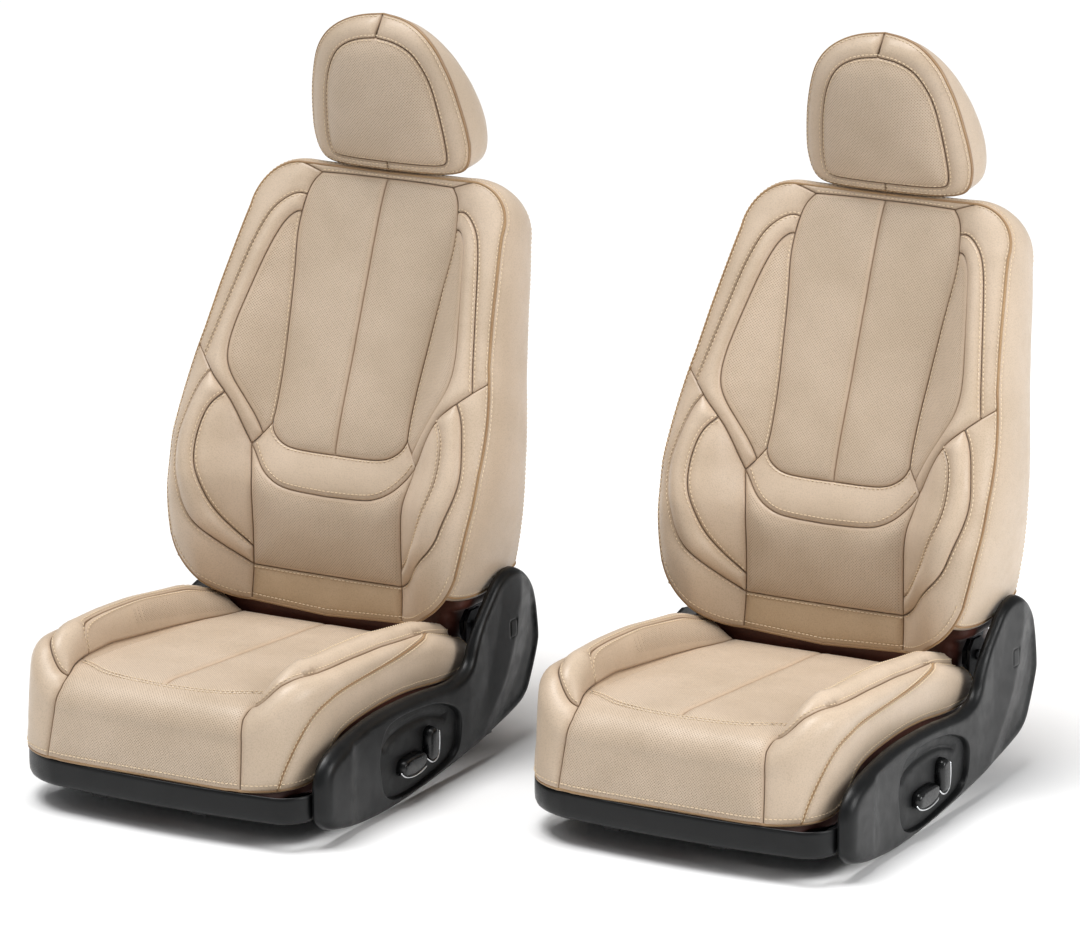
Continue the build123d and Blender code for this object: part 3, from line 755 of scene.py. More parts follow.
BACK_MIDDLE = np.array([(0.0, 197), (0, 642)])
insert_loop = chain(both_sides(INSERT_FOOT), INSERT_SIDE, INSERT_TOP, flip(INSERT_TOP), flip(INSERT_SIDE))
back_insert = Panel(back_base, insert_loop, crown=7, reach=22, edge=3.2, creases=[(BACK_MIDDLE, 5.0, 2.6)])
band_loop = chain(
    both_sides(BAND_FOOT), BAND_END[::-1], INSERT_FOOT[::-1], flip(INSERT_FOOT)[::-1], flip(BAND_END)[::-1])
lumbar_band = Panel(back_base, band_loop, crown=3.5, reach=12)
lumbar_loop = chain(LUMBAR_SIDE, LOW_SEAM, flip(LOW_SEAM), flip(LUMBAR_SIDE), flip(BAND_FOOT), BAND_FOOT)
lumbar_panel = Panel(back_base, lumbar_loop, crown=9, reach=24)
foot_loop = chain(
    HEM_TICK, FOOT_MIDDLE, flip(FOOT_MIDDLE), flip(HEM_TICK), flip(LOW_SEAM)[::-1], LOW_SEAM[::-1])
HEM_LINE = beside(FOOT_MIDDLE[::-1], HEM_BORDER)
lumbar_foot = Panel(back_base, foot_loop, crown=3, reach=14, creases=[(both_sides(HEM_LINE), 1.0, 2.5)])
pad_loop = chain(INSERT_SIDE[:pad_top + 1], INNER_ARC, BAND_END[:band_split + 1][::-1])
wing_pad = Panel(back_base, pad_loop, crown=4, reach=20)
arc_band_loop = chain(
    BAND_END[band_split:], FOOT_SEAM[:arc_split + 1], OUTER_ARC[::-1],
    INSERT_SIDE[pad_top:arc_top + 1][::-1], INNER_ARC)
wing_band = Panel(back_base, arc_band_loop, crown=5.5, reach=7, edge=3.0)
wing_loop = chain(FOOT_SEAM[arc_split:], SIDE_HIGH, TOP_TICK[::-1], INSERT_SIDE[arc_top:][::-1], OUTER_ARC)
wing_outer = Panel(back_base, wing_loop, crown=5, reach=22)
top_loop = chain(both_sides(INSERT_TOP[::-1]), TOP_TICK, TOP_EDGE, flip(TOP_EDGE), flip(TOP_TICK))
top_strip = Panel(back_base, top_loop, crown=3, reach=5)
leaf_loop = chain(FOOT_SEAM[:rim_top + 1], LEAF_STITCH, LUMBAR_SIDE[:rim_foot + 1][::-1])
leaf = Panel(back_base, leaf_loop, crown=5, reach=22, edge=3.0)
leaf_rim_loop = chain(
    FOOT_SEAM[rim_top:foot_split + 1], LEAF_EDGE, LUMBAR_SIDE[rim_foot:][::-1], LEAF_STITCH[::-1])
leaf_rim = Panel(back_base, leaf_rim_loop, crown=9, reach=9, edge=3.0)
outer_loop = chain(FOOT_SEAM[foot_split:], SIDE_LOW[::-1], FOOT_SIDE[::-1], HEM_TICK[::-1], LEAF_EDGE[::-1])
bolster_outer = Panel(back_base, outer_loop, crown=5, reach=18)


def build_back_front():
    sheet("back_insert", back_insert, "perforated_leather", "backrest", nodes=["back_insert"])
    sheet("lumbar_band", lumbar_band, "smooth_leather", "backrest", nodes=["lumbar_band"])
    sheet("lumbar_panel", lumbar_panel, "perforated_leather", "backrest", nodes=["lumbar_panel"])
    # the foot strip wears the darker painted-shade copy of the tan leather
    sheet("lumbar_foot", lumbar_foot, "painted_shade_foot_leather", "backrest")
    sheet("wing_pads", wing_pad, "perforated_leather", "backrest", mirror=True)
    sheet("wing_bands", wing_band, "smooth_leather", "backrest", mirror=True)
    sheet("back_wings", wing_outer, "smooth_leather", "backrest", nodes=["back_wings"], mirror=True)
    sheet("shoulder_strip", top_strip, "smooth_leather", "backrest")
    sheet("back_bolster_leaves", leaf, "smooth_leather", "backrest", nodes=["back_bolsters"], mirror=True)
    sheet("back_bolster_rims", leaf_rim, "smooth_leather", "backrest", mirror=True)
    sheet("back_bolster_sides", bolster_outer, "smooth_leather", "backrest", mirror=True)
    half = [
        sewn(wing_pad, INSERT_SIDE[:pad_top + 1], -STITCH_OFF),
        sewn(wing_pad, INNER_ARC, STITCH_OFF), sewn(wing_band, INNER_ARC, -STITCH_OFF),
        sewn(wing_outer, OUTER_ARC, STITCH_OFF), sewn(wing_band, OUTER_ARC, -STITCH_OFF),
        sewn(lumbar_band, BAND_FOOT, 8.0), sewn(lumbar_band, INSERT_FOOT, -STITCH_OFF),
        sewn(leaf, LEAF_STITCH, -STITCH_OFF), sewn(leaf_rim, LEAF_STITCH, STITCH_OFF),
        sewn(lumbar_foot, LOW_SEAM, STITCH_OFF), sewn(top_strip, INSERT_TOP, -STITCH_OFF),
        sewn(bolster_outer, LEAF_EDGE, STITCH_OFF), sewn(wing_outer, SIDE_HIGH, STITCH_OFF),
        sewn(bolster_outer, SIDE_LOW, STITCH_OFF),
        sewn(bolster_outer, FOOT_SIDE, HEM_BORDER), sewn(lumbar_foot, HEM_LINE),
    ]
    rows("back_stitching", half, "backrest")
    rows("back_piping", [welt(bolster_outer, chain(SIDE_LOW, SIDE_HIGH, TOP_EDGE), 2.2, 1.2),
                         welt(bolster_outer, chain(FOOT_MIDDLE[::-1], FOOT_SIDE), 2.4, 0.5)],
         "backrest", "piping")


build_back_front()


# ---- backrest sides and rear
REAR_INSET = 9.0
REAR_HEM_S = 17.0
HEM_SAG = 19.0
LOW_SWELL, LOW_ROWS = 0.15, 45.0


def rear_base(at):
    """The foam under the rear cover; its pattern is drawn as seen from behind."""
    x, s = at.T
    share = np.clip(np.abs(x) / half_width(s), 0, 1.05)
    return on_back(-x, s, rear_n(s) - 3.0 + 5.0 * share ** 8)


RIM = chain(OUTLINE_SIDE, TOP_EDGE)
RIM_REAR = chain(
    arc((190, REAR_HEM_S), (240, REAR_HEM_S + 14), (260, 66)), beside(RIM, REAR_INSET)[8:-1],
    [(0, 659 - REAR_INSET)])
RIM_ROWS = 190
GUSSET_COLUMNS = 46
REAR_STITCH = 5.0


def gusset():
    """The strip round the backrest's edge, from the front piping to the rear seam."""
    foot = OUTLINE_FOOT[OUTLINE_FOOT[:, 0] > 240]
    front_line = resample(chain(foot, RIM), 1.0)
    front_line = front_line[np.linspace(0, len(front_line) - 1, RIM_ROWS).round().astype(int)]
    front = back_base(front_line)
    rear_line = resample(RIM_REAR, 1.0)
    start = np.argmin(np.abs(rear_line[:, 1] - 62))
    rear_line = rear_line[start:][np.linspace(0, len(rear_line) - start - 1, RIM_ROWS).round().astype(int)]
    rear = rear_base(rear_line * [-1, 1])
    v = eased(GUSSET_COLUMNS)[None, :, None]
    turn = np.gradient(front_line, axis=0)
    turn /= np.linalg.norm(turn, axis=1, keepdims=True)
    out = np.stack([turn[:, 1], -turn[:, 0] * sin(RAKE), -turn[:, 0] * cos(RAKE)], -1)
    reach = np.linalg.norm(rear - front, axis=1)
    share = LOW_SWELL + (1 - LOW_SWELL) * np.clip(np.arange(RIM_ROWS) / LOW_ROWS, 0, 1)
    swell = (np.clip(reach * 0.08, 4, 15) * share)[:, None, None] * (4 * v * (1 - v)) ** 0.7
    points = front[:, None] * (1 - v) + rear[:, None] * v + out[:, None] * swell
    sag = HEM_SAG * 4 * v * (1 - v) * np.exp(-np.arange(RIM_ROWS) / 16.0)[:, None, None]
    points = points - sag * [0, 0, 1]
    depth, run = along(points, 1), along(points, 0)
    gap = np.minimum(np.minimum(depth, depth.max(1, keepdims=True) - depth), run)
    lifted, normal = quilted(points, gap, crown=3.0, reach=16)
    return lifted, normal, lattice(lifted, pattern=np.stack([run, depth], -1), seam=gap), depth


def build_back_sides():
    points, normal, shape, depth = gusset()
    add_piece("back_side_band", join([shape, shape.mirrored()]), "smooth_leather", "backrest",
              nodes=["back_side_band"], thick=LEATHER_T)
    row = np.arange(len(points))
    front = np.argmin(np.abs(depth - REAR_STITCH), axis=1)
    rear = np.argmin(np.abs(depth.max(1, keepdims=True) - depth - REAR_STITCH), axis=1)
    lines = [stitches(points[row, column][3:], normal[row, column][3:]) for column in (front, rear)]
    lines.append(stitches(points[3, 2:-2], normal[3, 2:-2]))
    rows("side_band_stitching", lines, "backrest")
    rows("side_band_piping", [tube(points[2], 2.2), tube(points[:, -1], 2.0)], "backrest", "piping")


REAR_LOOP_HALF = resample(chain([(0, REAR_HEM_S)], RIM_REAR), STEP)
YOKE_S = 575.0
PRINCESS_X = 150.0
YOKE = np.array([(-222.0, YOKE_S), (0, YOKE_S - 12), (222, YOKE_S)])
PRINCESS = smooth([(PRINCESS_X, YOKE_S - 6), (PRINCESS_X + 8, 300), (PRINCESS_X - 10, REAR_HEM_S + 2)])
REAR_SEAMS = (YOKE, PRINCESS * [-1, 1], PRINCESS)
rear_face = Panel(rear_base, chain(flip(REAR_LOOP_HALF), REAR_LOOP_HALF), crown=6, reach=26, step=8.0,
                  creases=[(line, depth, 2.2) for line, depth in zip(REAR_SEAMS, (3.4, 3.0, 3.0))])


def build_back_rear():
    sheet("rear_cover", rear_face, "smooth_leather", "backrest", nodes=["rear_cover"])
    lines = [sewn(rear_face, smooth(line), off)
             for line in REAR_SEAMS for off in (REAR_STITCH, -REAR_STITCH)]
    hem_s = REAR_HEM_S + HEM_BORDER
    lines.append(sewn(rear_face, [(-200, hem_s), (200, hem_s)]))
    rows("rear_stitching", lines, "backrest", mirror=False)
    hem = both_sides(chain([(0, REAR_HEM_S)], RIM_REAR[:22]))
    rows("rear_hem_piping", [welt(rear_face, hem, 2.2)], "backrest", "piping", mirror=False)


# ---- cushion
K_HALF, K_FRONT, K_CORNER = 228.0, -396.0, 75.0
CORE_X, CORE_Y = K_HALF - K_CORNER, K_FRONT + K_CORNER
SIDE_ROUND, NOSE_ROUND = 24.0, 44.0
FRONT_LEAN = 0.2
CUSHION_REAR = 94.0
CREST_X, CREST_FALL = 208.0, 14.0
CORNER_END = CORE_X + K_CORNER * pi / 2
seat_middle_z = profile([(-430, 202), (-396, 207), (-370, 211.5), (105, 183)], 24)
seat_crest_z = profile(
    [(-430, 214), (-396, 234), (-375, 248), (-335, 261), (-240, 262), (-140, 257), (0, 239), (60, 219),
    (105, 204)], 30)
seam_x = profile(
    [(-420, 165), (-402, 168), (-373, 179), (-335, 186), (-250, 190), (-73, 182), (0, 175), (58, 164),
    (105, 158)], 20)


def seat_top_z(x, y):
    """Height of the cushion's foam over the seat's plan."""
    t = np.clip((np.abs(x) - seam_x(y) + 6) / (CREST_X + 2 - seam_x(y)), 0, 1)
    t = t * t * (3 - 2 * t)
    fall = np.clip((np.abs(x) - CREST_X) / 22, 0, 1)
    return seat_middle_z(y) + (seat_crest_z(y) - seat_middle_z(y)) * t - CREST_FALL * fall * fall


def round_of(ny):
    return SIDE_ROUND + (NOSE_ROUND - SIDE_ROUND) * ny ** 2


def cushion_base(at):
    """The cushion's top, laid on in plan, and its walls, folded down over a rounded edge."""
    x, y = at.T
    side = np.abs(x)
    core_x, core_y = np.minimum(side, CORE_X), np.maximum(y, CORE_Y)
    dx, dy = side - core_x, y - core_y
    length = np.hypot(dx, dy)
    nx, ny = dx / np.maximum(length, 1e-9), dy / np.maximum(length, 1e-9)
    past = np.maximum(length - K_CORNER, 0)
    keep = np.minimum(length, K_CORNER)
    px, py = core_x + keep * nx, core_y + keep * ny
    r = round_of(ny)
    angle = np.minimum(past / r, pi / 2)
    straight = np.maximum(past - r * pi / 2, 0)
    out = r * np.sin(angle) + straight * FRONT_LEAN * ny ** 2
    drop = r * (1 - np.cos(angle)) + straight
    return np.stack([np.sign(x) * (px + out * nx), py + out * ny, seat_top_z(px, py) - drop], -1)


def wall(q, z):
    """The pattern place on the cushion's wall at height z; q runs round its edge from the front's middle."""
    q, z = np.asarray(q, float), np.asarray(z, float)
    angle = np.clip((q - CORE_X) / K_CORNER, 0, pi / 2)
    nx, ny = np.sin(angle), -np.cos(angle)
    core_x = np.minimum(q, CORE_X)
    core_y = CORE_Y + np.maximum(q - CORNER_END, 0)
    px, py = core_x + K_CORNER * nx, core_y + K_CORNER * ny
    r, drop = round_of(ny), seat_top_z(px, py) - z
    arc_part = r * np.arccos(np.clip(1 - drop / r, 0, 1))
    past = np.where(drop < r, arc_part, r * pi / 2 + drop - r)
    return np.stack([px + past * nx, py + past * ny], -1)


def wall_line(points, rounds=3):
    line = smooth(points, rounds)
    return resample(wall(*line.T), STEP)


def q_side(y):
    return CORNER_END + y - CORE_Y


HEM_FRONT = wall_line([(0, 89), (100, 89), (165, 90)], 1)
HEM_CORNER = wall_line([(165, 90), (185, 90), (197, 91)], 1)
HEM_SIDE = wall_line(
    [(197, 91), (222, 92), (240, 96), (252, 106), (277, 138), (309, 155), (415, 165), (509, 163),
    (603, 150), (667, 147), (693, 152), (704, 172), (701, 200), (q_side(CUSHION_REAR - 4), 222)])
PIPING = wall_line(
    [(197, 91), (203, 120), (213, 150), (226, 178), (241, 198), (260, 209), (298, 217), (388, 221),
    (600, 227), (q_side(CUSHION_REAR - 4), 222)])
INSET = resample(
    np.stack([seam_x(np.linspace(CUSHION_REAR, -402, 60)), np.linspace(CUSHION_REAR, -402, 60)], -1), STEP)
band_end = np.argmin(np.abs(INSET[:, 1] + 318))
cross_end = np.argmin(np.abs(INSET[:, 1] + 338))
NOSE_SEAM = resample(chain([INSET[-1]], [(166, -412), (165, -430)], [HEM_FRONT[-1]]), STEP)
CROSS_SEAM = curve((0, -392), (70, -388), (115, -381), (152, -360), INSET[cross_end])
BAND_IN = curve(
    INSET[band_end], (196, -318), (204, -300), (206, -245), (206, -100), (203, 0), (198, CUSHION_REAR))
BAND_OUT = curve(
    INSET[-1], (186, -404), (212, -388), (228, -350), (236, -300), (238, -200), (236, -80), (230, 0),
    (223, CUSHION_REAR))
REAR_EDGE_MIDDLE = resample([(0, CUSHION_REAR), INSET[0]], STEP)
REAR_EDGE_WALL = resample([INSET[0], BAND_IN[-1]], STEP)
REAR_EDGE_BAND = resample([BAND_IN[-1], BAND_OUT[-1]], STEP)
REAR_EDGE_OUT = resample([BAND_OUT[-1], PIPING[-1]], STEP)
MIDDLE_SEAM = np.array([(0.0, CUSHION_REAR - 4), (0, -380)])
SEAT_SEAMS = [
    chain(INSET, NOSE_SEAM), chain(INSET, NOSE_SEAM) * [-1, 1], both_sides(REAR_EDGE_MIDDLE),
    both_sides(HEM_FRONT)]

CROSS_CREASE = (both_sides(CROSS_SEAM), 0.9, 1.6)
insert_outline = chain(
    flip(INSET[:cross_end + 1]), flip(REAR_EDGE_MIDDLE), REAR_EDGE_MIDDLE, INSET[:cross_end + 1],
    CROSS_SEAM[::-1], flip(CROSS_SEAM)[::-1])
seat_insert = Panel(cushion_base, insert_outline, crown=6, reach=26,
                    creases=[(MIDDLE_SEAM, 4.4, 2.4), CROSS_CREASE], seams=SEAT_SEAMS)
front_outline = chain(
    both_sides(CROSS_SEAM), INSET[cross_end:], NOSE_SEAM, HEM_FRONT[::-1], flip(HEM_FRONT)[::-1],
    flip(NOSE_SEAM), flip(INSET[cross_end:]))
seat_front = Panel(cushion_base, front_outline, crown=6, reach=26, creases=[CROSS_CREASE], seams=SEAT_SEAMS)
wall_loop = chain(INSET[:band_end + 1], BAND_IN, REAR_EDGE_WALL[::-1])
seat_inner_wall = Panel(cushion_base, wall_loop, crown=5, reach=18)
seat_band_loop = chain(INSET[band_end:], BAND_OUT, REAR_EDGE_BAND[::-1], BAND_IN[::-1])
seat_band = Panel(cushion_base, seat_band_loop, crown=8, reach=9, edge=3.0)
shoulder_loop = chain(BAND_OUT, REAR_EDGE_OUT, PIPING[::-1], HEM_CORNER[::-1], NOSE_SEAM[::-1])
seat_shoulder = Panel(cushion_base, shoulder_loop, crown=6, reach=16)
seat_skirt = Panel(cushion_base, chain(PIPING, HEM_SIDE[::-1]), crown=3.5, reach=20)


def build_cushion():
    sheet("cushion_insert", seat_insert, "perforated_leather", "seat", nodes=["cushion_insert"])
    sheet("cushion_front_panel", seat_front, "perforated_leather", "seat", nodes=["cushion_front_panel"])
    sheet("cushion_bolster_walls", seat_inner_wall, "perforated_leather", "seat", mirror=True)
    sheet("cushion_bolster_bands", seat_band, "smooth_leather", "seat", mirror=True)
    sheet("cushion_bolsters", seat_shoulder, "smooth_leather", "seat", nodes=["cushion_bolsters"],
           mirror=True)
    sheet("cushion_skirt", seat_skirt, "smooth_leather", "seat", nodes=["cushion_skirt"], mirror=True)
    half = [
        sewn(seat_inner_wall, BAND_IN, STITCH_OFF), sewn(seat_band, BAND_IN, -STITCH_OFF),
        sewn(seat_band, BAND_OUT, STITCH_OFF), sewn(seat_front, CROSS_SEAM, -STITCH_OFF),
        sewn(seat_insert, CROSS_SEAM, STITCH_OFF), sewn(seat_shoulder, PIPING, STITCH_OFF),
        sewn(seat_skirt, PIPING, -STITCH_OFF), sewn(seat_skirt, HEM_SIDE, HEM_BORDER),
        sewn(seat_front, HEM_FRONT, HEM_BORDER), sewn(seat_shoulder, HEM_CORNER, HEM_BORDER),
    ]
    rows("cushion_stitching", half, "seat")
    hem = chain(HEM_FRONT, HEM_CORNER, HEM_SIDE)
    rows("cushion_piping", [welt(seat_skirt, PIPING, 2.3, 1.4), welt(seat_skirt, hem, 2.4, 0.4)], "seat",
         "piping")


# ---- headrest
head_front_y = profile(
    [(893, 296), (915, 288), (950, 278), (1010, 265), (1080, 255), (1112, 258), (1132, 268), (1146, 284)],
    16)
HEAD_RIM = curve(
    (0, 893), (60, 893), (112, 893), (134, 903), (143, 936), (141, 969), (136, 1004), (129, 1038),
    (120, 1068), (108, 1095), (91, 1116), (68, 1132), (38, 1142), (0, 1146))
HEAD_INSERT = curve(
    (0, 906), (60, 906), (98, 907), (107, 916), (108, 940), (106, 970), (101, 1012), (93, 1048), (80, 1076),
    (62, 1096), (34, 1108), (0, 1112))
HEAD_CROWN = 26.0


def head_base(at):
    x, z = at.T
    share = np.clip(np.abs(x) / 143.0, 0, 1.1)
    return np.stack([x, head_front_y(z) + HEAD_CROWN * share ** 3, z], -1)


head_insert = Panel(head_base, chain(HEAD_INSERT, flip(HEAD_INSERT)), crown=9, reach=26, edge=2.8)
head_band = Panel(head_base, chain(HEAD_INSERT, HEAD_RIM[::-1]), crown=5, reach=12)
HEAD_POLE = np.array([0, 424.0, 946.0])
SHELL_ROWS = 44
SHELL_SWELL = 0.05


def head_shell():
    """The hood behind the face: from its rim back to a low rear."""
    rim_line = chain(HEAD_RIM, flip(HEAD_RIM))[:-1]
    rim = head_base(rim_line)
    t = np.linspace(0, 1, SHELL_ROWS)[:, None]
    a = np.arccos((1 - t ** 3) ** 2)
    up = rim_line[:, 1] - HEAD_POLE[2]
    tall = np.clip(up / 200, -1, 1)
    power = np.where(up > 0, 0.34 + 0.95 * tall ** 2, 0.34 - 0.04 * np.clip(-up / 50, 0, 1))
    shrink = np.maximum(np.cos(a), 1e-9) ** power
    x = rim[:, 0] * shrink * (1 + SHELL_SWELL * np.sin(2 * a))
    z = HEAD_POLE[2] + up * shrink
    y = rim[:, 1] + (HEAD_POLE[1] - rim[:, 1]) * np.sin(a) ** 1.05
    points = np.stack([x, y, z], -1)
    depth, run = along(points, 0), along(points, 1)
    lifted, normal = quilted(points, depth, crown=4, reach=20)
    shape = lattice(lifted, wrap=True, pattern=np.stack([run, depth], -1), seam=depth)
    return shape, lifted, normal, depth


def build_headrest():
    sheet("headrest_insert", head_insert, "perforated_leather", "headrest", nodes=["headrest_insert"])
    sheet("headrest_band", head_band, "smooth_leather", "headrest",
           nodes=["headrest_band", "headrest_foam"], mirror=True)
    shape, points, normal, depth = head_shell()
    add_piece("headrest_shell", shape, "smooth_leather", "headrest", nodes=["headrest_shell"],
              thick=LEATHER_T)
    near = np.argmin(np.abs(depth[:, 0] - 5))
    rows("headrest_stitching", [
        sewn(head_insert, HEAD_INSERT, STITCH_OFF), sewn(head_band, HEAD_INSERT, -STITCH_OFF),
        sewn(head_band, HEAD_RIM, 4.2),
        stitches(points[near, :len(HEAD_RIM)], normal[near, :len(HEAD_RIM)])], "headrest")
    rows("headrest_piping", [welt(head_band, HEAD_RIM, 1.4, 0.9)], "headrest", "piping")


# ---- the seats' own upholstery under the covers
CORNER_POINTS = 7


def rounded_plan(half_x, front, rear, front_radius, rear_radius):
    """Corners of a rounded rectangle in plan, anticlockwise."""
    points = []
    for side, end, start in ((1, 1, 0), (-1, 1, 90), (-1, -1, 180), (1, -1, 270)):
        radius = rear_radius if end > 0 else front_radius
        cx = side * (half_x - radius)
        cy = rear - radius if end > 0 else front + radius
        turn = np.radians(start + np.linspace(0, 90, CORNER_POINTS))
        points += list(np.stack([cx + radius * np.cos(turn), cy + radius * np.sin(turn)], -1))
    return resample(np.array(points + points[:1]), 12.0)[:-1]


def stacked(levels):
    """A closed body from rounded plan sections, each (z, half width, front, rear, front and rear radius)."""
    sections = [rounded_plan(*level[1:]) for level in levels]
    count = min(len(section) for section in sections)
    sections = [resample(np.concatenate([s, s[:1]]), 1.0)[:-1] for s in sections]
    sections = [s[np.linspace(0, len(s), count, endpoint=False).astype(int)] for s in sections]
    points = np.stack([np.concatenate([s, np.full((count, 1), level[0])], 1)
                       for s, level in zip(sections, levels)])
    normal = np.cross(np.gradient(points, axis=1), np.gradient(points, axis=0))
    normal /= np.maximum(np.linalg.norm(normal, axis=2, keepdims=True), 1e-9)
    points = points + normal * ripple(points.reshape(-1, 3)).reshape(len(levels), count, 1)
    run = along(points, 1)
    flat = np.stack([run, points[..., 2]], -1)
    return capped(lattice(points[:, ::-1], wrap=True, pattern=flat[:, ::-1]), len(levels), count)


def groove(z, seam_z):
    """How far a body is drawn in round its seam."""
    return 1.5 * np.exp(-((z - seam_z) / 2.5) ** 2)


def build_upholstery():
    rise = np.linspace(0, 1, 26)
    seat_levels = []
    for t in rise:
        z = 68 + 118 * t
        pull = 5 * abs(2 * t - 1) ** 3 + groove(z, 128)
        # 42 mm longer below its step at z = 166
        rear = 66 + 42 / (1 + np.exp((z - 166) / 1.5))
        seat_levels.append((z, 243 - pull, -433 + pull, rear - pull, 94, 30))
    add_piece(
        "cushion_upholstery", stacked(seat_levels), "brown_upholstery", "seat", nodes=["cushion_foam"])
    back_levels = []
    for t in rise:
        z = 168 + 130 * t
        pull = 6 * abs(2 * t - 1) ** 3 + groove(z, 214)
        # 29 mm wider on each side above z = 238, and no deeper than the cover's rear
        width = 221 + 29 / (1 + np.exp(-(z - 238) / 2.0))
        rear = min(220 + 0.6 * (z - 168), 241)
        back_levels.append((z, width - pull, 104 + pull, rear - pull, 14, 9))
    add_piece(
        "backrest_upholstery", stacked(back_levels), "brown_upholstery", "backrest",
        nodes=["backrest_foam"])


# ---- moulded trim
def swept(path, section):
    """A closed section, (out, up) pairs, carried along a plan path."""
    turn = np.gradient(path, axis=0)
    turn /= np.linalg.norm(turn, axis=1, keepdims=True)
    out = np.stack([turn[:, 1], -turn[:, 0]], -1)
    section = np.array(section, float)
    plan = path[:, None] + out[:, None] * section[None, :, :1]
    up = np.broadcast_to(section[None, :, 1:], plan.shape[:2] + (1,))
    points = np.concatenate([plan, up], -1)
    return capped(lattice(points, wrap=True), len(path), len(section))


def outline(points, step):
    """A rounded closed outline, without its first point again at the end."""
    return resample(smooth(points), step)[:-1]


# the valance's path is in plan, the shield's outlines are (y, z) as seen from its side
VALANCE_PATH = resample(chain(
    [(-262, -200), (-262, -330)], arc((-262, -330), (-239, -406), (-170, -450)),
    arc((-170, -450), (15, -460), (222, -450)), arc((222, -450), (254, -437), (271, -408)),
    [(271, -400)]), 6.0)
VALANCE_SECTION = [
    (-2, 84), (-1.4, 86.4), (0.4, 87.2), (1.6, 85.6), (1.9, 80), (2.0, 70), (1.9, 58), (1.2, 50),
    (-0.8, 45.2), (-4, 43.4), (-9, 43), (-9, 45.6), (-4.4, 46.2), (-2.4, 50), (-2, 60)]
SHIELD = outline([
    (-413, 75), (-413, 48), (-389, 27), (-365, 19), (-318, 10), (-258, 5), (-197, 5), (-136, 9),
    (-74, 15), (-12, 22), (51, 31), (115, 41), (180, 54), (234, 70), (256, 108), (275, 150), (278, 168),
    (267, 230), (253, 258), (226, 284), (187, 301), (142, 292), (110, 262), (79, 233), (57, 202), (48, 177),
    (23, 164), (-14, 158), (-102, 168), (-181, 171), (-242, 170), (-301, 163), (-355, 152), (-393, 138),
    (-413, 110), (-413, 75)], 5.0)
RECESS = outline([
    (-236, 70), (-231, 42), (-204, 22), (-136, 19), (-43, 32), (-4, 43), (9, 67), (10, 112),
    (-49, 138), (-101, 147), (-181, 151), (-226, 142), (-242, 96), (-236, 70)], 4.0)
SLOT = resample(smooth([(-214, 108), (-196, 120), (-140, 128), (-80, 126), (-30, 110)]), 3.0)
FIELD_INSET = 3.0
ridge_y = profile([(75, 106), (110, 143), (146, 168), (190, 187), (247, 205), (277, 204), (300, 195)], 30)
SHIELD_FACE_X = 277.0
SHIELD_RISE = 19.0
RECESS_DEPTH = 14.0
FIELD_RISE = 8.5
ROUND_R = 15.0
CAP_RISE, CAP_ROUND, CAP_CROWN, CAP_REACH = 15.5, 5.0, 1.2, 15
TRIM_R = 1.5
MARK = np.array([(170.0, 186), (190, 186), (190, 214), (170, 214), (170, 186)])
COLUMN_Y, COLUMN_HALF, COLUMN_FADE, COLUMN_RISE = -362, 26, 16, 4.5
TOWER_START, TOWER_RUN, REAR_FALL, FRONT_FALL = 40, 60, 0.16, 0.05
SWITCHES = {
    "cushion_switch": (
        [(-178, 58), (-170, 50), (-146, 47), (-118, 50), (-105, 58), (-104, 72), (-114, 79), (-146, 80),
         (-170, 78), (-178, 70)],
        [(-181, 60), (-170, 50), (-146, 44.5), (-118, 46), (-104, 51)]),
    "recline_switch": (
        [(-97, 60), (-90, 55), (-78, 54), (-68, 58), (-66, 80), (-68, 102), (-76, 109), (-90, 108),
         (-97, 100), (-98, 80)],
        [(-101, 62), (-90, 53), (-77, 51), (-65, 58), (-62.5, 80), (-64, 98)]),
}


def flat_side(at):
    return np.stack([np.full(len(at), SHIELD_FACE_X), at[:, 0], at[:, 1]], -1)


def field_side(at):
    return flat_side(at) + [FIELD_RISE, 0, 0]


def closed_distance(at, loop):
    """How far each point is from a loop whose last point joins its first."""
    return distance(at, np.concatenate([loop, loop[:1]]))


def shield_relief(at):
    """The shield's relief: rounded rim, front column, sunk switch field, bent tower."""
    y, z = at.T
    rim = np.clip(closed_distance(at, SHIELD) / ROUND_R, 0, 1)
    rise = SHIELD_RISE * np.sqrt(np.maximum(1 - (1 - rim) ** 2, 0))
    column = np.exp(-(np.maximum(np.abs(y - COLUMN_Y) - COLUMN_HALF, 0) / COLUMN_FADE) ** 2)
    rise += rim * (COLUMN_RISE * column - 1.0)
    sunk = closed_distance(at, RECESS) * np.where(inside(at, RECESS), 1, -1)
    step = np.clip((sunk + 1.5) / 5.0, 0, 1)
    rise -= RECESS_DEPTH * step * step * (3 - 2 * step)
    behind = y - ridge_y(z)
    tower = np.clip((y - TOWER_START) / TOWER_RUN, 0, 1)
    rise -= rim * tower * np.clip(behind, 0, TOWER_RUN) * REAR_FALL
    rise -= rim * tower * np.clip(-behind, 0, TOWER_RUN) * FRONT_FALL
    return rise


shield = Panel(
    flat_side, SHIELD, crown=0, edge=0.0, pucker=0.0, step=6.0, rings=(0.7, 1.8, 3.4, 5.6, 8.5, 12),
    extra=shield_relief, creases=[(RECESS, 0.0, 3.0), (MARK, 1.0, 1.2)])


def slot_relief(at):
    """A long open slot under the shelf of the switch field, and the field's fall towards it."""
    off = distance(at, SLOT)
    deep = np.clip(1.6 - off / 3.2, 0, 1)
    return -5.0 * deep * deep * (3 - 2 * deep)


def cap_relief(loop, rise, radius):
    """A switch cap's relief: a rounded rim and a slight crown."""
    def relief(at):
        gap = closed_distance(at, loop)
        rim = np.clip(gap / radius, 0, 1)
        return rise * np.sqrt(np.maximum(1 - (1 - rim) ** 2, 0)) + CAP_CROWN * np.clip(gap / CAP_REACH, 0, 1)
    return relief


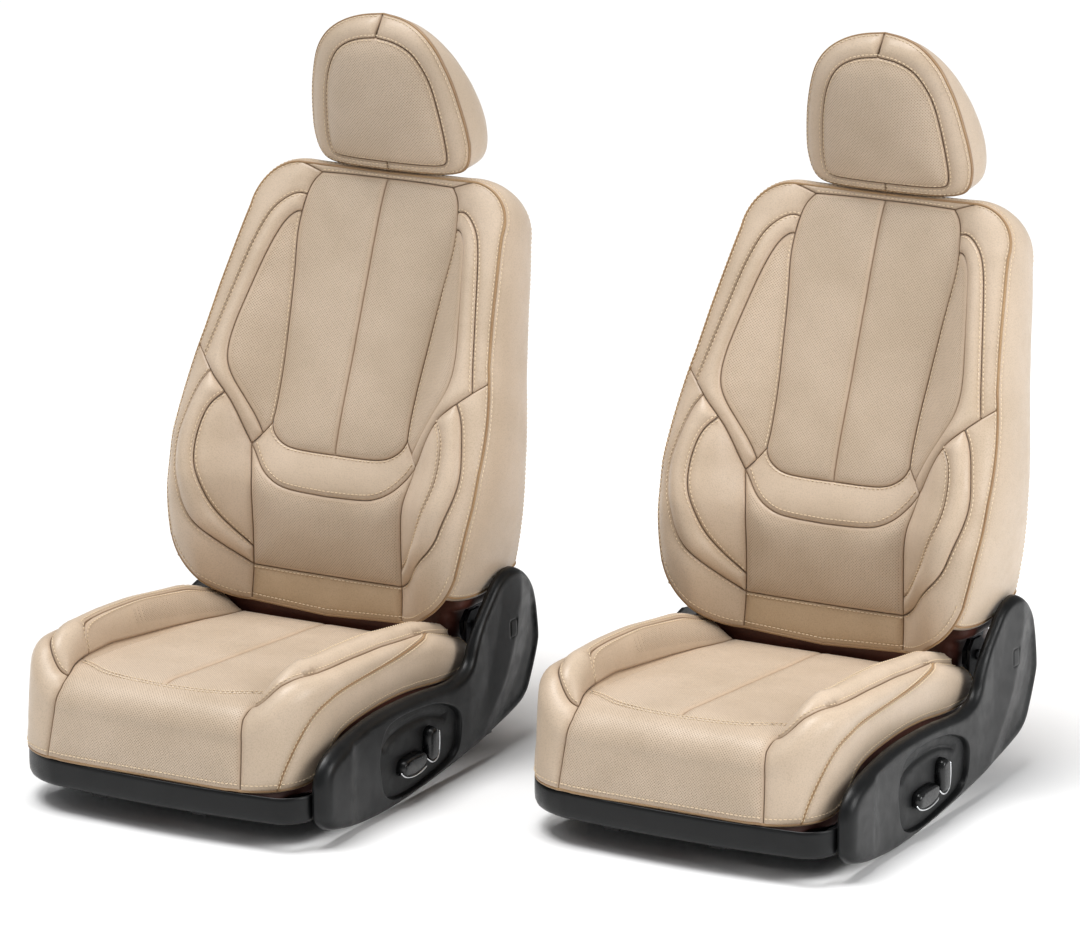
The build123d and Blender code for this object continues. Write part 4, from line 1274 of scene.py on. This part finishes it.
def build_trim():
    add_piece("front_valance", swept(VALANCE_PATH, VALANCE_SECTION), "black_plastic", "seat",
              nodes=["front_valance"])
    add_piece("outer_shield", shield.mesh(), "black_plastic", "seat", nodes=["outer_shield"], thick=2.8)
    field_loop = beside(np.concatenate([RECESS, RECESS[:1]]), -FIELD_INSET)[:-1]
    field = Panel(field_side, field_loop, crown=0.5, reach=20, edge=0.5, pucker=0,
                  creases=[(SLOT, 0.0, 2.0)], extra=slot_relief)
    add_piece("switch_field", field.mesh(), "recess_plastic", "seat", thick=1.5)
    for name, (cap_points, trim_points) in SWITCHES.items():
        loop = outline(cap_points + cap_points[:1], 2.0)
        cap = Panel(field_side, loop, crown=0, edge=0, pucker=0, step=4.0, rings=(0.5, 1.2, 2.4, 4.0),
                    extra=cap_relief(loop, CAP_RISE, CAP_ROUND))
        add_piece(name, cap.mesh(), "switch_plastic", name, nodes=[name], thick=1.6)
        route = resample(smooth(trim_points), 3.0)
        edge_line = np.concatenate([np.full((len(route), 1), SHIELD_FACE_X + SHIELD_RISE + 1.0), route], 1)
        add_piece(f"{name}_trim", tube(edge_line, TRIM_R), "chrome_trim", name)


build_back_sides()
build_back_rear()
build_cushion()
build_headrest()
build_upholstery()
build_trim()

# ---- CAD nodes that keep their shape
FINISH = {
    "lower_rails": "rail_steel", "upper_rails": "rail_steel", "cushion_frame": "frame_steel",
    "cushion_straps": "black_elastic", "recliner_brackets": "frame_steel", "back_frame": "frame_steel",
    "headrest_guides": "black_plastic", "headrest_posts": "post_chrome", "inner_shield": "black_plastic",
}
for full_name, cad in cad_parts.items():
    short = full_name.split("_", 1)[1]
    finish = MATERIALS[FINISH.get(short, "smooth_leather")]
    for k in range(max(1, len(cad.material_slots))):
        if not cad.material_slots:
            cad.data.materials.append(finish)
        cad.material_slots[k].material = finish

# ---- floor, lights and camera
floor_mesh = bpy.data.meshes.new("floor")
FLOOR_HALF = 14.0
floor_mesh.from_pydata(
    [(-FLOOR_HALF, -FLOOR_HALF, 0), (FLOOR_HALF, -FLOOR_HALF, 0), (FLOOR_HALF, FLOOR_HALF, 0),
    (-FLOOR_HALF, FLOOR_HALF, 0)], [], [(0, 1, 2, 3)])
floor = bpy.data.objects.new("floor", floor_mesh)
bpy.context.scene.collection.objects.link(floor)
paper = Finish("floor_paper")
paper_tone = paper.mixed(paper.noise(2.0, 3.0), colour(240, 240, 240), colour(246, 246, 246))
floor_mesh.materials.append(paper.shade(Base_Color=paper_tone, Roughness=0.8))

world = bpy.data.worlds.new("studio")
bpy.context.scene.world = world
world.use_nodes = True
studio = Graph(world.node_tree)
SKY_LIGHT, SKY_SEEN = 0.24, 1.0
seen = studio.add("ShaderNodeLightPath").outputs["Is Camera Ray"]
sky = studio.nodes["Background"]
studio.put(sky.inputs["Color"], (1, 1, 1, 1))
studio.put(sky.inputs["Strength"], studio.ranged(seen, 0, 1, SKY_LIGHT, SKY_SEEN, "LINEAR"))


def softbox(name, place, aim, size, watts):
    lamp = bpy.data.lights.new(name, "AREA")
    lamp.shape, lamp.size, lamp.energy = "SQUARE", size, watts
    made = bpy.data.objects.new(name, lamp)
    made.location = place
    made.rotation_euler = (Vector(aim) - Vector(place)).to_track_quat("-Z", "Y").to_euler()
    bpy.context.scene.collection.objects.link(made)


AIM = (0, -0.05, 0.6)
softbox("key_from_left", (-2.2, -2.4, 3.6), AIM, 1.8, 18)
softbox("right_fill", (4.2, -0.3, 2.4), AIM, 2.2, 112)
sun = bpy.data.lights.new("overhead", "SUN")
sun.energy, sun.angle = 3.0, radians(34)
overhead = bpy.data.objects.new("overhead", sun)
overhead.rotation_euler = Vector((0.16, 0.1, -0.98)).to_track_quat("-Z", "Y").to_euler()
bpy.context.scene.collection.objects.link(overhead)

bpy.context.scene.view_settings.view_transform = "Standard"
lens = bpy.data.cameras.new("camera")
lens.lens, lens.sensor_width, lens.clip_end = 200, 36, 60
camera = bpy.data.objects.new("camera", lens)
LOOK_AT = PLACE["left"] + Vector((0.4775, -0.0646, 0.550))
AZIMUTH, ELEVATION, RANGE = radians(29.1), radians(15.1), 9.153
towards = Vector((sin(AZIMUTH) * cos(ELEVATION), -cos(AZIMUTH) * cos(ELEVATION), sin(ELEVATION)))
camera.location = LOOK_AT + towards * RANGE
camera.rotation_euler = (-towards).to_track_quat("-Z", "Y").to_euler()
bpy.context.scene.collection.objects.link(camera)
bpy.context.scene.camera = camera
